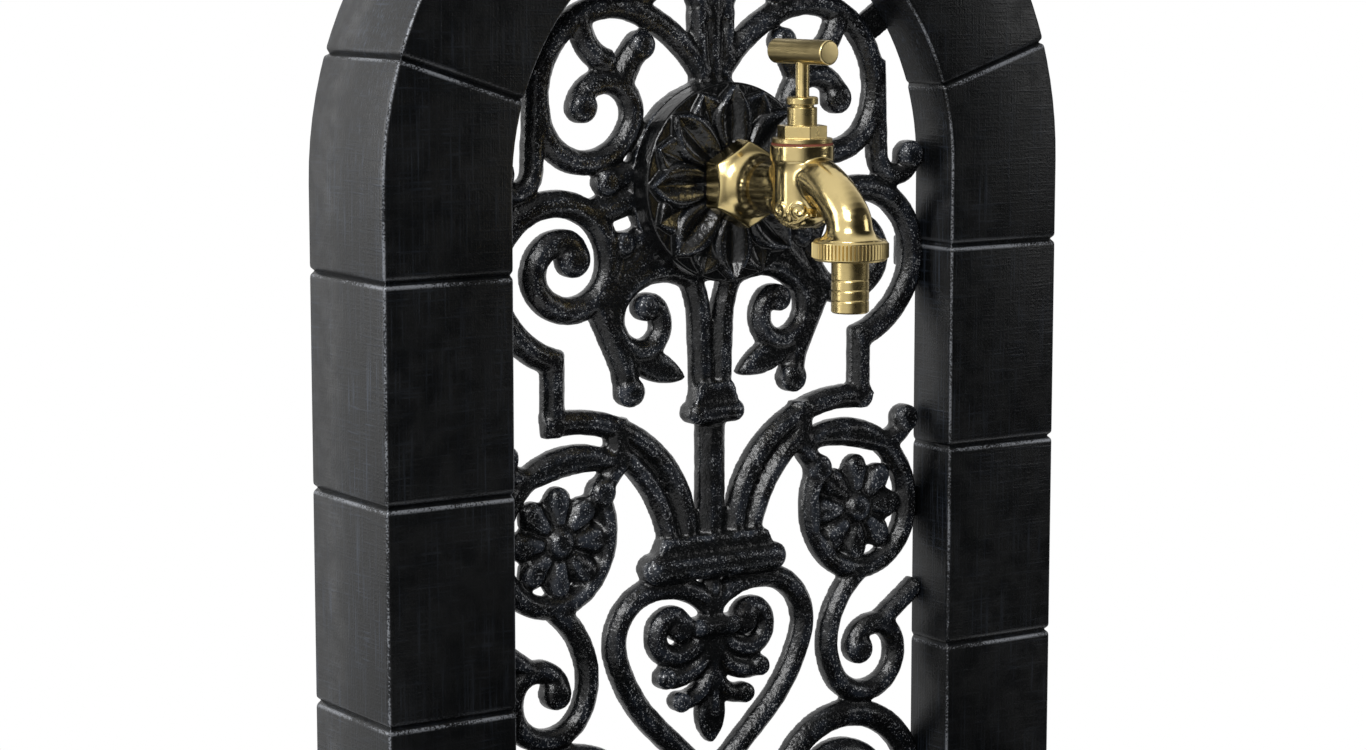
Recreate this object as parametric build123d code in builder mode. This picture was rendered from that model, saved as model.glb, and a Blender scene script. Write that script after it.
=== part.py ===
from build123d import *
from math import copysign, cos, radians, sin, sqrt
import os

os.makedirs("parts", exist_ok=True)

# Garden tap fountain: a cast arch with block joints, a pierced scrollwork panel, a half-round
# basin and a brass bib tap. Millimetres, +Z up, the front faces -Y, and the origin lies under
# the middle of the stand.

# Stand and arch
course_height = 91.2
low_courses = 5
top_block = 36.2
arch_outer_radius = 175.0
arch_inner_radius = 114.0
arch_depth = 64.0
reveal_depth = 26.5
shell_wall = 5.0
foot_plate = 6.0
arch_joint_pitch = 36.0
joint_width = 3.4
joint_depth = 2.0
reveal_joint_depth = 1.0
foot_bolt_depths = (18.0, 48.0)
# Cutters start this far outside the face that they cut
cut_over = 0.1
# Joined solids run this far into each other
overlap = 0.5

# Plinth
plinth_height = 35.0
plinth_margin = 11.0
plinth_plate = 6.0
plinth_wall = 8.0
plinth_edge = 3.0
floor_hole_radius = 4.5
floor_hole_depth = 32.0
floor_hole_spread = 85.0
floor_lug_radius = 11.0

# Basin
basin_radius = 187.0
basin_courses = 2
basin_wall = 7.0
basin_floor = 6.0
basin_floor_height = 62.0
basin_floor_fall = 7.0
fall_margin = 4.0
drain_margin = 1.5
basin_joint_pitch = 30.0
rim_height = 16.0
rim_overhang = 6.0
basin_lug_radius = 12.0
basin_lug_angles = (25.0, 90.0, 155.0)
basin_lug_root = 3.0
basin_rim_round = 5.5
basin_lip_round = 2.5
basin_bolt_drop = 24.0

# Scrollwork panel
bar_width = 9.5
bar_height = 8.0
bar_shoulder = 4.8
ridge_share = 0.32
leaf_bevel = 1.8
panel_back = 28.0
panel_end_gap = 0.3
rail_height = 11.0
rail_drop = 330.0
ear_thickness = 4.0
ear_width = 13.0
pad_radius = 6.5
ear_screw_inset = 14.0
ear_angles = (35.0, 145.0)
side_ear_drops = (40.0, 156.0)
crown_ear_root = 16.0
side_ear_root = 9.0

# Boss and rosette
boss_radius = 43.0
boss_front = 5.0
boss_taper = 1.2
rosette_core = 17.0
rosette_petals = 8
# Each ring of petals: root, middle and tip radius, width, relief and the depth of the hollow
front_petal = (12.0, 27.0, 41.5, 15.5, 4.5, 2.8)
back_petal = (14.0, 31.0, 40.5, 15.0, 2.6, 1.4)
petal_rim = 1.5
# A petal's hollow stops this many rims short of its pointed tip
petal_point = 1.5
hollow_taper = 30

# Flowers in the rings
flower_radius = 24.0
flower_petals = 8
flower_petal_length = 20.0
flower_petal_width = 14.5
flower_button = 6.0
flower_bevel = 2.2

# Tap: depths run back from the arch's front face, heights from the inlet axis
tap_drop = 3.5
flange_across_flats = 33.0
flange_length = 11.5
wall_washer_thickness = 1.0
wall_washer_radius = 15.5
tail_diameter = 20.9
tail_length = 42.0
tail_clearance = 0.4
inlet_stop = -27.0
feed_slope = 36.0
feed_length = 14.0
feed_start = 1.5
feed_radius = 3.6
# The flange's corners are turned off by a cone: its radius at the front face and its slope
flange_corner_radius = 14.8
flange_corner_slope = 0.75
neck_root = 14.6
neck_waist = 11.2
neck_sweep = 2.6
neck_waist_depth = -20.0
inlet_bore = 11.0
barrel_depth = -42.7
barrel_radius = 12.3
barrel_bottom = -16.5
barrel_shoulder = -9.3
barrel_rounding = 6.0
chamber_bottom = -12.5
chamber_radius = 7.6
collar_radius = 13.35
collar_bottom = 12.5
collar_step = 1.2
barrel_top = 19.0
barrel_bore = 9.5
web_top = 0.0
web_thickness = 3.0
seat_bore = 4.5
spout_radius = 9.3
spout_bore = 5.2
spout_slope = 15.0
spout_bend = (45.0, 35.0)
spout_turn = (10.0, 40.0)
outlet_depth = -76.6
outlet_radius = 13.1
outlet_length = 3.0
outlet_flare_height = 3.2
thread_clearance = 0.06
seat_gap = 0.2
press_clearance = 0.03
valve_lift = 3.0

# Headwork
bonnet_washer_thickness = 0.8
bonnet_washer_radius = 12.9
bonnet_flange_radius = 12.6
bonnet_flange_height = 2.1
bonnet_across_flats = 18.4
bonnet_turn = 12.0
bonnet_hex_height = 5.2
bonnet_neck_radius = 6.2
bonnet_neck_height = 7.5
bonnet_thread_length = 9.0
gland_head_radius = 6.6
gland_head_height = 3.2
gland_bevel = 0.6
gland_gap = 1.2
gland_thread_radius = 4.9
gland_thread_length = 2.2
packing_height = 4.2
spindle_radius = 2.9
spindle_thread_radius = 4.0
spindle_thread_length = 17.5
spindle_top = 60.0
handle_radius = 5.2
handle_round = 0.9
handle_length = 34.0
handle_height = 57.5
handle_turn = 5.0
jumper_radius = 6.6
jumper_height = 2.6
jumper_stem_radius = 2.4
jumper_stem = 7.0
stem_room = 0.6
seat_washer_radius = 6.2
seat_washer_height = 2.6
washer_nut_radius = 3.4
washer_nut_height = 2.0
stud_radius = 1.6

# Hose union
nut_radius = 15.85
nut_height = 8.3
nut_top = -18.0
nut_lip = 1.8
union_clearance = 0.1
nut_tail_clearance = 0.3
nut_knurls = 36
knurl_depth = 0.5
hose_tail_radius = 7.8
hose_tail_bore = 5.2
hose_tail_bottom = -48.0
hose_tail_flange_radius = 12.2
hose_tail_flange = 1.6
hose_tail_bevel = 0.6
hose_tail_barbs = 4
plain_tail = 8.0
hose_neck_relief = 0.3
barb_pitch = 3.6
barb_depth = 0.4

# Rear connection
backnut_across_flats = 27.0
backnut_height = 7.0
back_washer_height = 1.4
back_washer_radius = 14.5
connector_across_flats = 24.5
connector_length = 11.0
connector_gap = 0.8
nipple_radius = 6.6
nipple_bore = 4.3
nipple_length = 12.0
nipple_groove = 1.2
nipple_collar = 2.5
nipple_land = 6.5
inlet_seal_height = 1.6
# A sealing washer's hole is this much wider than the bore it seals
washer_step = 0.6

# Drain
drain_forward = 88.0
drain_flange_radius = 23.0
drain_flange_height = 2.4
drain_gasket_height = 1.4
drain_tail_radius = 16.5
drain_bore = 12.0
drain_tail_length = 44.0
drain_spigot_radius = 13.0
drain_spigot_length = 14.0
drain_nut_across_flats = 44.0
drain_nut_height = 8.0
strainer_height = 1.8
strainer_radius = 17.0
strainer_holes = 8
strainer_hole_radius = 2.2
plinth_drain_hole = 30.0

# Fasteners
bolt_diameter = 8.0
bolt_clearance = 0.5
bolt_head_flats = 13.0
bolt_head_height = 5.3
nut_flats = 13.0
nut_thickness = 6.5
bolt_spare = 2.0
screw_diameter = 5.0
screw_head_radius = 4.6
screw_head_height = 2.8
screw_bevel = 0.9
screw_length = 14.0
screw_clearance = 0.3

# Places worked out from the sizes above
plinth_radius = basin_radius + plinth_margin
base_depth = plinth_radius + arch_depth
face_y = base_depth / 2 - arch_depth
springing_z = plinth_height + low_courses * course_height + top_block
tap_z = springing_z - tap_drop
leg_centre = (arch_outer_radius + arch_inner_radius) / 2
bar_reach = arch_inner_radius - panel_end_gap
ear_front = panel_back - 1.2
panel_front = panel_back - bar_height
basin_top = plinth_height + basin_courses * course_height
floor_z = plinth_height + basin_floor_height
drain_y = face_y - drain_forward
basin_bolt_z = basin_top - basin_bolt_drop
wall_bolt_spots = [(-leg_centre, basin_bolt_z - springing_z), (leg_centre, basin_bolt_z - springing_z)]

# Working planes: x runs right, y up, and the normal points to the front
front = Plane(origin=(0, face_y, springing_z), x_dir=(1, 0, 0), z_dir=(0, -1, 0))
panel = front.offset(-panel_back)
# Side plane of the tap: x is depth behind the arch's front face, y is height over the inlet
side = Plane(origin=(0, face_y, tap_z), x_dir=(0, 1, 0), z_dir=(1, 0, 0))


def behind(depth):
    """The front plane moved back by a depth."""
    return front.offset(-depth)


def save(piece, name):
    """Labels a finished piece and writes its file."""
    piece.part.label = name
    export_step(piece.part, f"parts/{name}.step")


# Outlines

def arch_outline(radius, bottom, mode=Mode.ADD):
    """Round-headed outline on the current sketch, from a bottom height up."""
    with BuildLine() as edge:
        left = Line((-radius, 0), (-radius, bottom))
        base = Line(left @ 1, (radius, bottom))
        right = Line(base @ 1, (radius, 0))
        ThreePointArc((radius, 0), (0, radius), (-radius, 0))
    return make_face(edge.line.edges(), mode=mode)


def half_round_outline(radius, back, mode=Mode.ADD):
    """Half disc in front of the arch face with a straight part behind it."""
    with BuildLine() as edge:
        right = Line((radius, 0), (radius, back))
        rear = Line(right @ 1, (-radius, back))
        Line(rear @ 1, (-radius, 0))
        ThreePointArc((-radius, 0), (0, -radius), (radius, 0))
    return make_face(edge.line.edges(), mode=mode)


def half_disc(radius, back_wall=0.0):
    """Half disc in front of the arch face, its straight side a wall's thickness ahead of it."""
    half = sqrt(radius ** 2 - back_wall ** 2)
    with BuildLine() as edge:
        Line((half, -back_wall), (-half, -back_wall))
        ThreePointArc((-half, -back_wall), (0, -radius), (half, -back_wall))
    return make_face(edge.line.edges())


def floor_plane(height):
    """Level plane at a height, its origin in line with the arch's front face."""
    return Plane(origin=(0, face_y, height))


# Stand

foot_bolt_spots = [
    (sign * leg_centre, face_y + depth) for sign in (-1, 1) for depth in foot_bolt_depths
]
lug_circle = basin_radius - basin_wall - basin_lug_radius + basin_lug_root
basin_bolt_spots = [
    (lug_circle * cos(radians(angle)), face_y - lug_circle * sin(radians(angle)))
    for angle in basin_lug_angles
]
base_bolt_spots = foot_bolt_spots + basin_bolt_spots
floor_bolt_spots = [(sign * floor_hole_spread, face_y + floor_hole_depth) for sign in (-1, 1)]

with BuildPart() as plinth:
    with BuildSketch(floor_plane(0)):
        half_round_outline(plinth_radius, arch_depth)
    extrude(amount=plinth_height)
    chamfer(plinth.faces().sort_by(Axis.Z)[-1].edges(), plinth_edge)
    with BuildSketch(floor_plane(0)):
        half_round_outline(plinth_radius - plinth_wall, arch_depth - plinth_wall)
    extrude(amount=plinth_height - plinth_plate, mode=Mode.SUBTRACT)
    with BuildSketch(floor_plane(plinth_height)):
        with Locations((0, -drain_forward)):
            Circle(plinth_drain_hole)
    extrude(amount=-plinth_plate, mode=Mode.SUBTRACT)
    for x, y in base_bolt_spots:
        with Locations((x, y, plinth_height)):
            Hole(radius=bolt_diameter / 2 + bolt_clearance)
    # Lugs in the hollow take the floor bolts, which are reached between the legs
    for x, y in floor_bolt_spots:
        with BuildSketch(Plane(origin=(x, y, 0))):
            Circle(floor_lug_radius)
        extrude(amount=plinth_height - plinth_plate)
        with Locations((x, y, plinth_height)):
            Hole(radius=floor_hole_radius)
save(plinth, "plinth")


leg_joints = [-(top_block + course_height * row) for row in range(low_courses)]
arch_joints = [90 + arch_joint_pitch * (number - 2) for number in range(5)]
ear_drops = [*side_ear_drops, rail_drop]
ear_radius = arch_inner_radius + ear_screw_inset
# Each ear: the place of its screw and the direction in which it leaves the panel
ear_screws = [(ear_radius * cos(radians(a)), ear_radius * sin(radians(a)), a) for a in ear_angles]
for drop in ear_drops:
    ear_screws += [(ear_radius, -drop, 0.0), (-ear_radius, -drop, 180.0)]


# One joint between blocks, lying along +X from the middle of the arch: front, side and reveal
with BuildPart() as joint_cutter:
    with BuildSketch(Plane.YZ.offset(arch_inner_radius - overlap)):
        Polygon((-cut_over, -joint_width / 2), (-cut_over, joint_width / 2), (joint_depth, 0),
                align=None)
    extrude(amount=arch_outer_radius - arch_inner_radius + 2 * overlap)
    with BuildSketch(Plane.XZ):
        Polygon((arch_outer_radius + cut_over, -joint_width / 2),
                (arch_outer_radius + cut_over, joint_width / 2),
                (arch_outer_radius - joint_depth, 0), align=None)
        Polygon((arch_inner_radius - cut_over, -joint_width / 2),
                (arch_inner_radius + reveal_joint_depth, 0),
                (arch_inner_radius - cut_over, joint_width / 2), align=None)
    extrude(amount=-arch_depth)

arch_centre = Pos(0, face_y, springing_z)
joint_places = [arch_centre * Rot(0, -angle, 0) for angle in arch_joints]
for z in leg_joints:
    joint_places += [arch_centre * Pos(0, 0, z), arch_centre * Pos(0, 0, z) * Rot(0, 180, 0)]

with BuildPart() as arch_surround:
    with BuildSketch(front) as arch_face:
        arch_outline(arch_outer_radius, plinth_height - springing_z)
        arch_outline(arch_inner_radius, plinth_height - springing_z, Mode.SUBTRACT)
    extrude(amount=-arch_depth)
    # The casting is hollow: its rear is open, and the inner wall stops behind the panel's seat
    cavity_bottom = plinth_height + foot_plate - springing_z
    with BuildSketch(behind(shell_wall)):
        arch_outline(arch_outer_radius - shell_wall, cavity_bottom)
        arch_outline(arch_inner_radius + shell_wall, cavity_bottom, Mode.SUBTRACT)
    extrude(amount=-arch_depth, mode=Mode.SUBTRACT)
    with BuildSketch(behind(reveal_depth)):
        arch_outline(arch_outer_radius - shell_wall, cavity_bottom)
    extrude(amount=-arch_depth, mode=Mode.SUBTRACT)
    # Pads behind the front wall take the panel's screws
    with BuildSketch(behind(shell_wall - overlap)):
        for x, z, _ in ear_screws:
            with Locations((x, z)):
                Circle(pad_radius)
    extrude(amount=-(ear_front - shell_wall + overlap))
    with BuildSketch(behind(ear_front)):
        for x, z, _ in ear_screws:
            with Locations((x, z)):
                Circle(screw_diameter / 2)
    extrude(amount=screw_length, mode=Mode.SUBTRACT)
    with BuildSketch(Plane.XY.offset(plinth_height)):
        for x, y in foot_bolt_spots:
            with Locations((x, y)):
                Circle(bolt_diameter / 2 + bolt_clearance)
    extrude(amount=foot_plate, mode=Mode.SUBTRACT)
    # The basin's back wall is bolted to the front of the legs
    with BuildSketch(front):
        with Locations(*wall_bolt_spots):
            Circle(bolt_diameter / 2 + bolt_clearance)
    extrude(amount=-shell_wall, mode=Mode.SUBTRACT)
    add([place * joint_cutter.part for place in joint_places], mode=Mode.SUBTRACT)
save(arch_surround, "arch_surround")


# Basin

with BuildPart() as basin_joint:
    # Level V groove round the wall
    with BuildSketch(Plane.XZ):
        Polygon((basin_radius + cut_over, -joint_width / 2), (basin_radius + cut_over, joint_width / 2),
                (basin_radius - joint_depth, 0), align=None)
    revolve(axis=Axis.Z)

with BuildPart() as basin_upright:
    # Upright V groove of one block, a course high
    with BuildSketch(Plane.XY):
        Polygon((basin_radius + cut_over, -joint_width / 2), (basin_radius + cut_over, joint_width / 2),
                (basin_radius - joint_depth, 0), align=None)
    extrude(amount=course_height)

upright_places = []
for row in range(basin_courses):
    first = basin_joint_pitch * (0.5 if row % 2 else 1.0)
    count = int((180 - first) / basin_joint_pitch) + (1 if row % 2 else 0)
    for number in range(count):
        angle = first + number * basin_joint_pitch
        if angle < 180:
            base = Pos(0, face_y, plinth_height + row * course_height)
            upright_places.append(base * Rot(0, 0, -angle))

rim_radius = basin_radius + rim_overhang
cavity_radius = basin_radius - basin_wall

with BuildPart() as basin:
    with BuildSketch(floor_plane(plinth_height)):
        half_disc(basin_radius)
    extrude(amount=basin_courses * course_height)
    with BuildSketch(floor_plane(basin_top)):
        half_disc(rim_radius)
    extrude(amount=rim_height)
    round_edges = basin.edges().filter_by(GeomType.CIRCLE).filter_by(
        lambda edge: abs(edge.radius - rim_radius) < 0.01)
    fillet(round_edges, basin_rim_round)
    # Bowl: a flat back, a round front and a floor that falls to the drain
    with BuildSketch(floor_plane(floor_z)):
        half_disc(cavity_radius, basin_wall)
    extrude(amount=basin_top + rim_height - floor_z, mode=Mode.SUBTRACT)
    fillet(basin.faces().sort_by(Axis.Z)[-1].inner_wires()[0].edges(), basin_lip_round)
    with Locations((0, drain_y, floor_z - basin_floor_fall / 2)):
        Cone(bottom_radius=drain_flange_radius + drain_margin,
             top_radius=drain_forward - basin_wall - fall_margin,
             height=basin_floor_fall, mode=Mode.SUBTRACT)
    # Hollow under the floor
    hollow = basin_floor_height - basin_floor_fall - basin_floor
    with BuildSketch(floor_plane(plinth_height)):
        half_disc(cavity_radius, basin_wall)
    extrude(amount=hollow, mode=Mode.SUBTRACT)
    for x, y in basin_bolt_spots:
        with BuildSketch(Plane(origin=(x, y, plinth_height))):
            Circle(basin_lug_radius)
        extrude(amount=foot_plate)
        with BuildSketch(Plane(origin=(x, y, plinth_height))):
            Circle(bolt_diameter / 2 + bolt_clearance)
        extrude(amount=foot_plate, mode=Mode.SUBTRACT)
    with Locations((0, drain_y, floor_z)):
        Hole(radius=drain_tail_radius + bolt_clearance, depth=basin_floor_height)
    with BuildSketch(front):
        with Locations(*wall_bolt_spots):
            Circle(bolt_diameter / 2 + bolt_clearance)
    extrude(amount=basin_wall, mode=Mode.SUBTRACT)
    # Block joints
    add([Pos(0, face_y, plinth_height + row * course_height) * basin_joint.part
         for row in range(1, basin_courses)], mode=Mode.SUBTRACT)
    add([place * basin_upright.part for place in upright_places], mode=Mode.SUBTRACT)
save(basin, "basin")


# Scrollwork panel: places are (right, up) from the middle of the arch's round head

def route_on(plane, start, heading, turns):
    """Path on a plane from straights (length,) and tangent arcs (radius, degrees, left positive)."""
    with BuildLine(plane) as route:
        place = plane.from_local_coords(Vector(*start))
        along = (cos(radians(heading)), sin(radians(heading)))
        toward = plane.from_local_coords(Vector(*along)) - plane.origin
        for turn in turns:
            if len(turn) == 1:
                piece = Line(place, place + toward * turn[0])
            else:
                piece = JernArc(place, toward, turn[0], turn[1])
            place = piece @ 1
            toward = piece % 1
    return route.wire()


def bar(start, heading, turns, width=bar_width):
    """Cast bar of the panel: flat back, upright sides and a ridged front."""
    path = route_on(panel, start, heading, turns)
    tangent = path % 0
    with BuildSketch(Plane(origin=path @ 0, x_dir=panel.z_dir.cross(tangent), z_dir=tangent)) as section:
        Polygon((-width / 2, 0), (width / 2, 0), (width / 2, bar_shoulder),
                (width * ridge_share / 2, bar_height), (-width * ridge_share / 2, bar_height),
                (-width / 2, bar_shoulder), align=None)
    return sweep(section.sketch, path=path, mode=Mode.PRIVATE)


def bevelled(piece, size):
    """Casting with its front edges bevelled."""
    return chamfer(piece.faces().sort_by(Axis.Y)[0].edges(), size)


def bulb(x, z, radius, height=bar_height):
    """Round button on the panel."""
    with BuildSketch(panel) as disc:
        with Locations((x, z)):
            Circle(radius)
    return bevelled(extrude(disc.sketch, amount=height, mode=Mode.PRIVATE), radius * 0.35)


def scroll(start, heading, turns, width, eye):
    """Bar that ends in a round eye, which is flush with the outside of the bar's last arc."""
    path = route_on(panel, start, heading, turns)
    inset = 0.0 if len(turns[-1]) == 1 else copysign(eye - width / 2, turns[-1][1])
    middle = panel.to_local_coords(path @ 1 + panel.z_dir.cross(path % 1) * inset)
    return [bar(start, heading, turns, width), bulb(middle.X, middle.Y, eye, bar_height + 1)]


def leaf(base, tip, width, height=bar_height * 0.8):
    """Pointed leaf between two places."""
    run = Vector(*tip) - Vector(*base)
    middle = Vector(*base) + run * 0.45
    across = Vector(-run.Y, run.X, 0).normalized() * (width / 2)
    with BuildSketch(panel) as outline:
        with BuildLine():
            ThreePointArc(base, tuple(middle + across)[:2], tip)
            ThreePointArc(tip, tuple(middle - across)[:2], base)
        make_face()
    return bevelled(extrude(outline.sketch, amount=height, mode=Mode.PRIVATE), leaf_bevel)


def block(points, height):
    """Straight-sided casting block on the panel."""
    with BuildSketch(panel) as outline:
        Polygon(*points, align=None)
    return extrude(outline.sketch, amount=height, mode=Mode.PRIVATE)


def roll(z, length, thickness, height, bevel):
    """Level bead with round ends across the middle of the panel."""
    with BuildSketch(panel) as outline:
        with Locations((0, z)):
            SlotOverall(length, thickness)
    return bevelled(extrude(outline.sketch, amount=height, mode=Mode.PRIVATE), bevel)


def flower(x, z):
    """Ring flower: blunt ridged petals round a button."""
    petals = []
    for number in range(flower_petals):
        with BuildSketch(panel) as outline:
            with Locations(Location((x, z, 0), (0, 0, 360 / flower_petals * number))):
                with Locations((flower_radius - flower_petal_length / 2, 0)):
                    Ellipse(flower_petal_length / 2, flower_petal_width / 2)
        petal = extrude(outline.sketch, amount=bar_height * 0.9, mode=Mode.PRIVATE)
        petals.append(bevelled(petal, flower_bevel))
    return petals + [bulb(x, z, flower_button, bar_height * 1.15)]


rail_z = -rail_drop
right_half = [
    # Crown loop that rolls into a volute, with the leaf bud that grows from it
    *scroll((4, 42), 57, [(73, -34), (36.5, -57), (38, -75), (23.5, -98), (24.5, -40), (14, -187)],
            10, 6.5),
    bar((68, 67), -112, [(9,), (16, -62)], 10),
    *scroll((47, 37), 100, [(34, 36)], 12, 6),
    # Side bar, its hook and the knobs round the boss
    *scroll((89, 46), -88, [(42,), (9.5, 170)], 9, 6.5),
    *scroll((38, 1.5), -12, [(17,)], 11, 5.5),
    *scroll((38, -27), -10, [(9,)], 9, 5),
    # Great spiral beside the boss, from the step
    *scroll((78, -78), 14, [(44, 50), (31.5, 51), (30, 94), (25, 69), (19.5, 135), (13.5, 137),
                            (6.5, 90)], 11, 7.5),
    bar((64, -16), 165, [(26,)], 12),
    bar((31, -29), -45, [(36,)], 16),
    # Comma scroll under the boss, its branch, knob and leaf
    *scroll((9, -47), 31, [(3,), (28, -37), (27, -45), (15, -105), (11, -155), (5.5, -75)], 9.5, 5.5),
    bar((58, -55), -116, [(30,)], 11),
    *scroll((46, -78), -102, [(15,)], 11, 6.3),
    leaf((47, -75), (14, -89), 13),
    # Stem
    bar((14, -40), -125, [(45, 33), (35,)], 10),
    # Stepped bar down to the vase
    bar((81, -73), -90, [(36,)], 10),
    bar((86, -104.5), 176, [(8.5,), (64, 46), (53, 49), (6,)], 10),
    bar((49, -104), -90, [(22,)], 10),
    bar((49, -118), -145, [(67, 42), (6,)], 9),
    *scroll((49, -124), -52, [(14,)], 9, 6),
    # Flower ring with its hook at the side
    *scroll((48, -122), 10, [(80, -24), (10,), (14, 84)], 9, 6),
    bar((57, -121), 21, [(38, -83), (35, -40), (26, -125), (33, -69)], 9.5),
    *flower(79, -155),
    # Reversed scroll under the ring
    *scroll((81, -184), -137, [(6,), (40, 37), (31, 39), (19, 83), (17, 87), (12, 133), (5.5, 55)],
            9.5, 6.5),
    bar((94, -209), 36, [(25,)], 9),
    # Half of the heart, which crosses below and runs to the rail
    bar((-3, -195), 49, [(4,), (33.5, -64), (22.5, -92), (76, -29.5), (40,), (60, 35), (26,)], 10),
    # Palmette volute and lobes
    *scroll((3, -202), -62, [(18.5, 62), (9.5, 110), (7.5, 80), (5.5, 70)], 9.5, 6.2),
    *scroll((2, -208), -75, [(18.5, 91)], 8.5, 4.4),
    *scroll((1, -221), -75, [(15.5, 79)], 8, 4.2),
    # Great lower scroll
    *scroll((113, -288), 90, [(38, 90), (38, 90), (32, 90), (27, 90), (26, 90), (15, 140), (6, 110)],
            11.5, 7.5),
    # Curl of the top stem under the crown
    *scroll((5, 66), 82, [(34, -82), (9.5, -215)], 9, 6),
]
middle = [
    bar((0, 34), 90, [(79.4,)], 9),
    bar((-6, 36), 93, [(34,)], 7),
    bar((6, 36), 87, [(34,)], 7),
    leaf((0, 70), (0, 112), 22),
    # Small collar and the stem down to the vase
    block([(-9, -92), (9, -92), (12, -103), (-12, -103)], bar_height + 1),
    roll(-104.5, 29, 9, bar_height + 3, 2.5),
    bar((0, -104), -90, [(62,)], 13),
    # Vase: flared foot of the stems over a rolled lip
    block([(-27, -159), (27, -159), (33, -171), (-33, -171)], bar_height + 1.5),
    roll(-171.5, 74, 12, bar_height + 4, 3),
    # Palmette clip, stalk and lowest leaf
    bar((0, -178), -90, [(62,)], 8),
    roll(-199.7, 25, 7, bar_height + 3, 2),
    leaf((0, -226), (0, -253), 14),
    # Rail
    block([(-bar_reach, rail_z - rail_height / 2), (bar_reach, rail_z - rail_height / 2),
           (bar_reach, rail_z + rail_height / 2), (-bar_reach, rail_z + rail_height / 2)],
          bar_height),
]


def make_ear(inner_end):
    """Flat lug behind the inner wall, along +X from an inner end to its screw hole."""
    with BuildSketch(front.offset(-ear_front)) as outline:
        with Locations(((ear_radius + inner_end) / 2, 0)):
            Rectangle(ear_radius - inner_end, ear_width)
        with Locations((ear_radius, 0)):
            Circle(ear_width / 2)
            Circle(screw_diameter / 2 + screw_clearance, mode=Mode.SUBTRACT)
    return extrude(outline.sketch, amount=-ear_thickness, mode=Mode.PRIVATE)


crown_ear = make_ear(arch_inner_radius - crown_ear_root)
side_ear = make_ear(arch_inner_radius - side_ear_root)

with BuildPart() as grille_panel:
    add(right_half + [piece.mirror(Plane.YZ) for piece in right_half] + middle)
    with BuildSketch(panel):
        with Locations((0, -tap_drop)):
            Circle(boss_radius)
    extrude(amount=bar_height)
    with BuildSketch(panel):
        arch_outline(bar_reach, rail_z - rail_height)
    extrude(amount=bar_height * 2, mode=Mode.INTERSECT)
    add([crown_ear.rotate(Axis((0, face_y, springing_z), (0, 1, 0)), -angle)
         for angle in ear_angles])
    for drop in ear_drops:
        low_ear = side_ear.moved(Location((0, 0, -drop)))
        add([low_ear, low_ear.mirror(Plane.YZ)])
    with BuildSketch(panel):
        with Locations((0, -tap_drop)):
            Circle(tail_diameter / 2 + tail_clearance)
    extrude(amount=bar_height, mode=Mode.SUBTRACT)
save(grille_panel, "grille_panel")


# Boss drum with two rings of cupped petals, one of the front ones upright

def petal_ring(root, widest, tip, width, inset, first_angle):
    """Outlines of one ring of petals round the inlet axis, each inset from its full size."""
    half = width / 2 - inset
    point = tip - petal_point * inset
    with BuildSketch() as petal:
        with BuildLine():
            ThreePointArc((root + inset, 0), (widest, half), (point, 0))
            ThreePointArc((point, 0), (widest, -half), (root + inset, 0))
        make_face()
    with Locations((0, -tap_drop)):
        with PolarLocations(0, rosette_petals, start_angle=first_angle):
            add(petal.sketch)


with BuildPart() as tap_boss:
    drum_front = boss_front + front_petal[4]
    with BuildSketch(behind(panel_front)):
        with Locations((0, -tap_drop)):
            Circle(boss_radius)
    extrude(amount=panel_front - drum_front)
    rim = tap_boss.edges().filter_by(GeomType.CIRCLE).sort_by(Axis.Y)[0]
    chamfer(rim, boss_taper)
    rings = ((back_petal, 90 + 180 / rosette_petals), (front_petal, 90))
    for (*outline, relief, hollow), first_angle in rings:
        with BuildSketch(behind(drum_front)):
            petal_ring(*outline, 0, first_angle)
        extrude(amount=relief)
        with BuildSketch(behind(drum_front - relief)):
            petal_ring(*outline, petal_rim, first_angle)
        extrude(amount=-hollow, taper=hollow_taper, mode=Mode.SUBTRACT)
    with BuildSketch(behind(drum_front)):
        with Locations((0, -tap_drop)):
            Circle(rosette_core)
    extrude(amount=front_petal[4])
    with BuildSketch(behind(boss_front)):
        with Locations((0, -tap_drop)):
            Circle(tail_diameter / 2 + tail_clearance)
    extrude(amount=-panel_front, mode=Mode.SUBTRACT)
save(tap_boss, "tap_boss")


# Tap: places on the side plane are (depth behind the arch's face, height over the inlet axis)

def tap_plane(depth, height):
    """Level plane of the tap, its normal up."""
    return Plane(origin=(0, face_y + depth, tap_z + height))


def inlet_plane(depth):
    """Upright plane across the inlet axis, its normal to the front."""
    return Plane(origin=(0, face_y + depth, tap_z), x_dir=(1, 0, 0), z_dir=(0, -1, 0))


def disc(plane, radius, height, inner=0.0):
    """Plain disc or ring that stands on a plane."""
    with BuildSketch(plane) as outline:
        Circle(radius)
        if inner:
            Circle(inner, mode=Mode.SUBTRACT)
    return extrude(outline.sketch, amount=height, mode=Mode.PRIVATE)


def bevelled_disc(plane, radius, height, bevel):
    """Disc that stands on a plane, with a bevel round its far edge."""
    blank = disc(plane, radius, height)
    far = max(blank.edges().filter_by(GeomType.CIRCLE),
              key=lambda edge: plane.to_local_coords(edge.arc_center).Z)
    return blank.chamfer(bevel, None, [far])


def hexagon(plane, across_flats, height, turn=0.0):
    """Hexagonal prism that stands on a plane."""
    with BuildSketch(plane) as outline:
        RegularPolygon(radius=across_flats / 2, side_count=6, major_radius=False, rotation=turn)
    return extrude(outline.sketch, amount=height, mode=Mode.PRIVATE)


def turned(points, axis):
    """Ring turned from an outline on the side plane about one of the tap's axes."""
    with BuildSketch(side) as outline:
        Polygon(*points, align=None)
    return revolve(outline.sketch, axis=axis, mode=Mode.PRIVATE)


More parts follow.
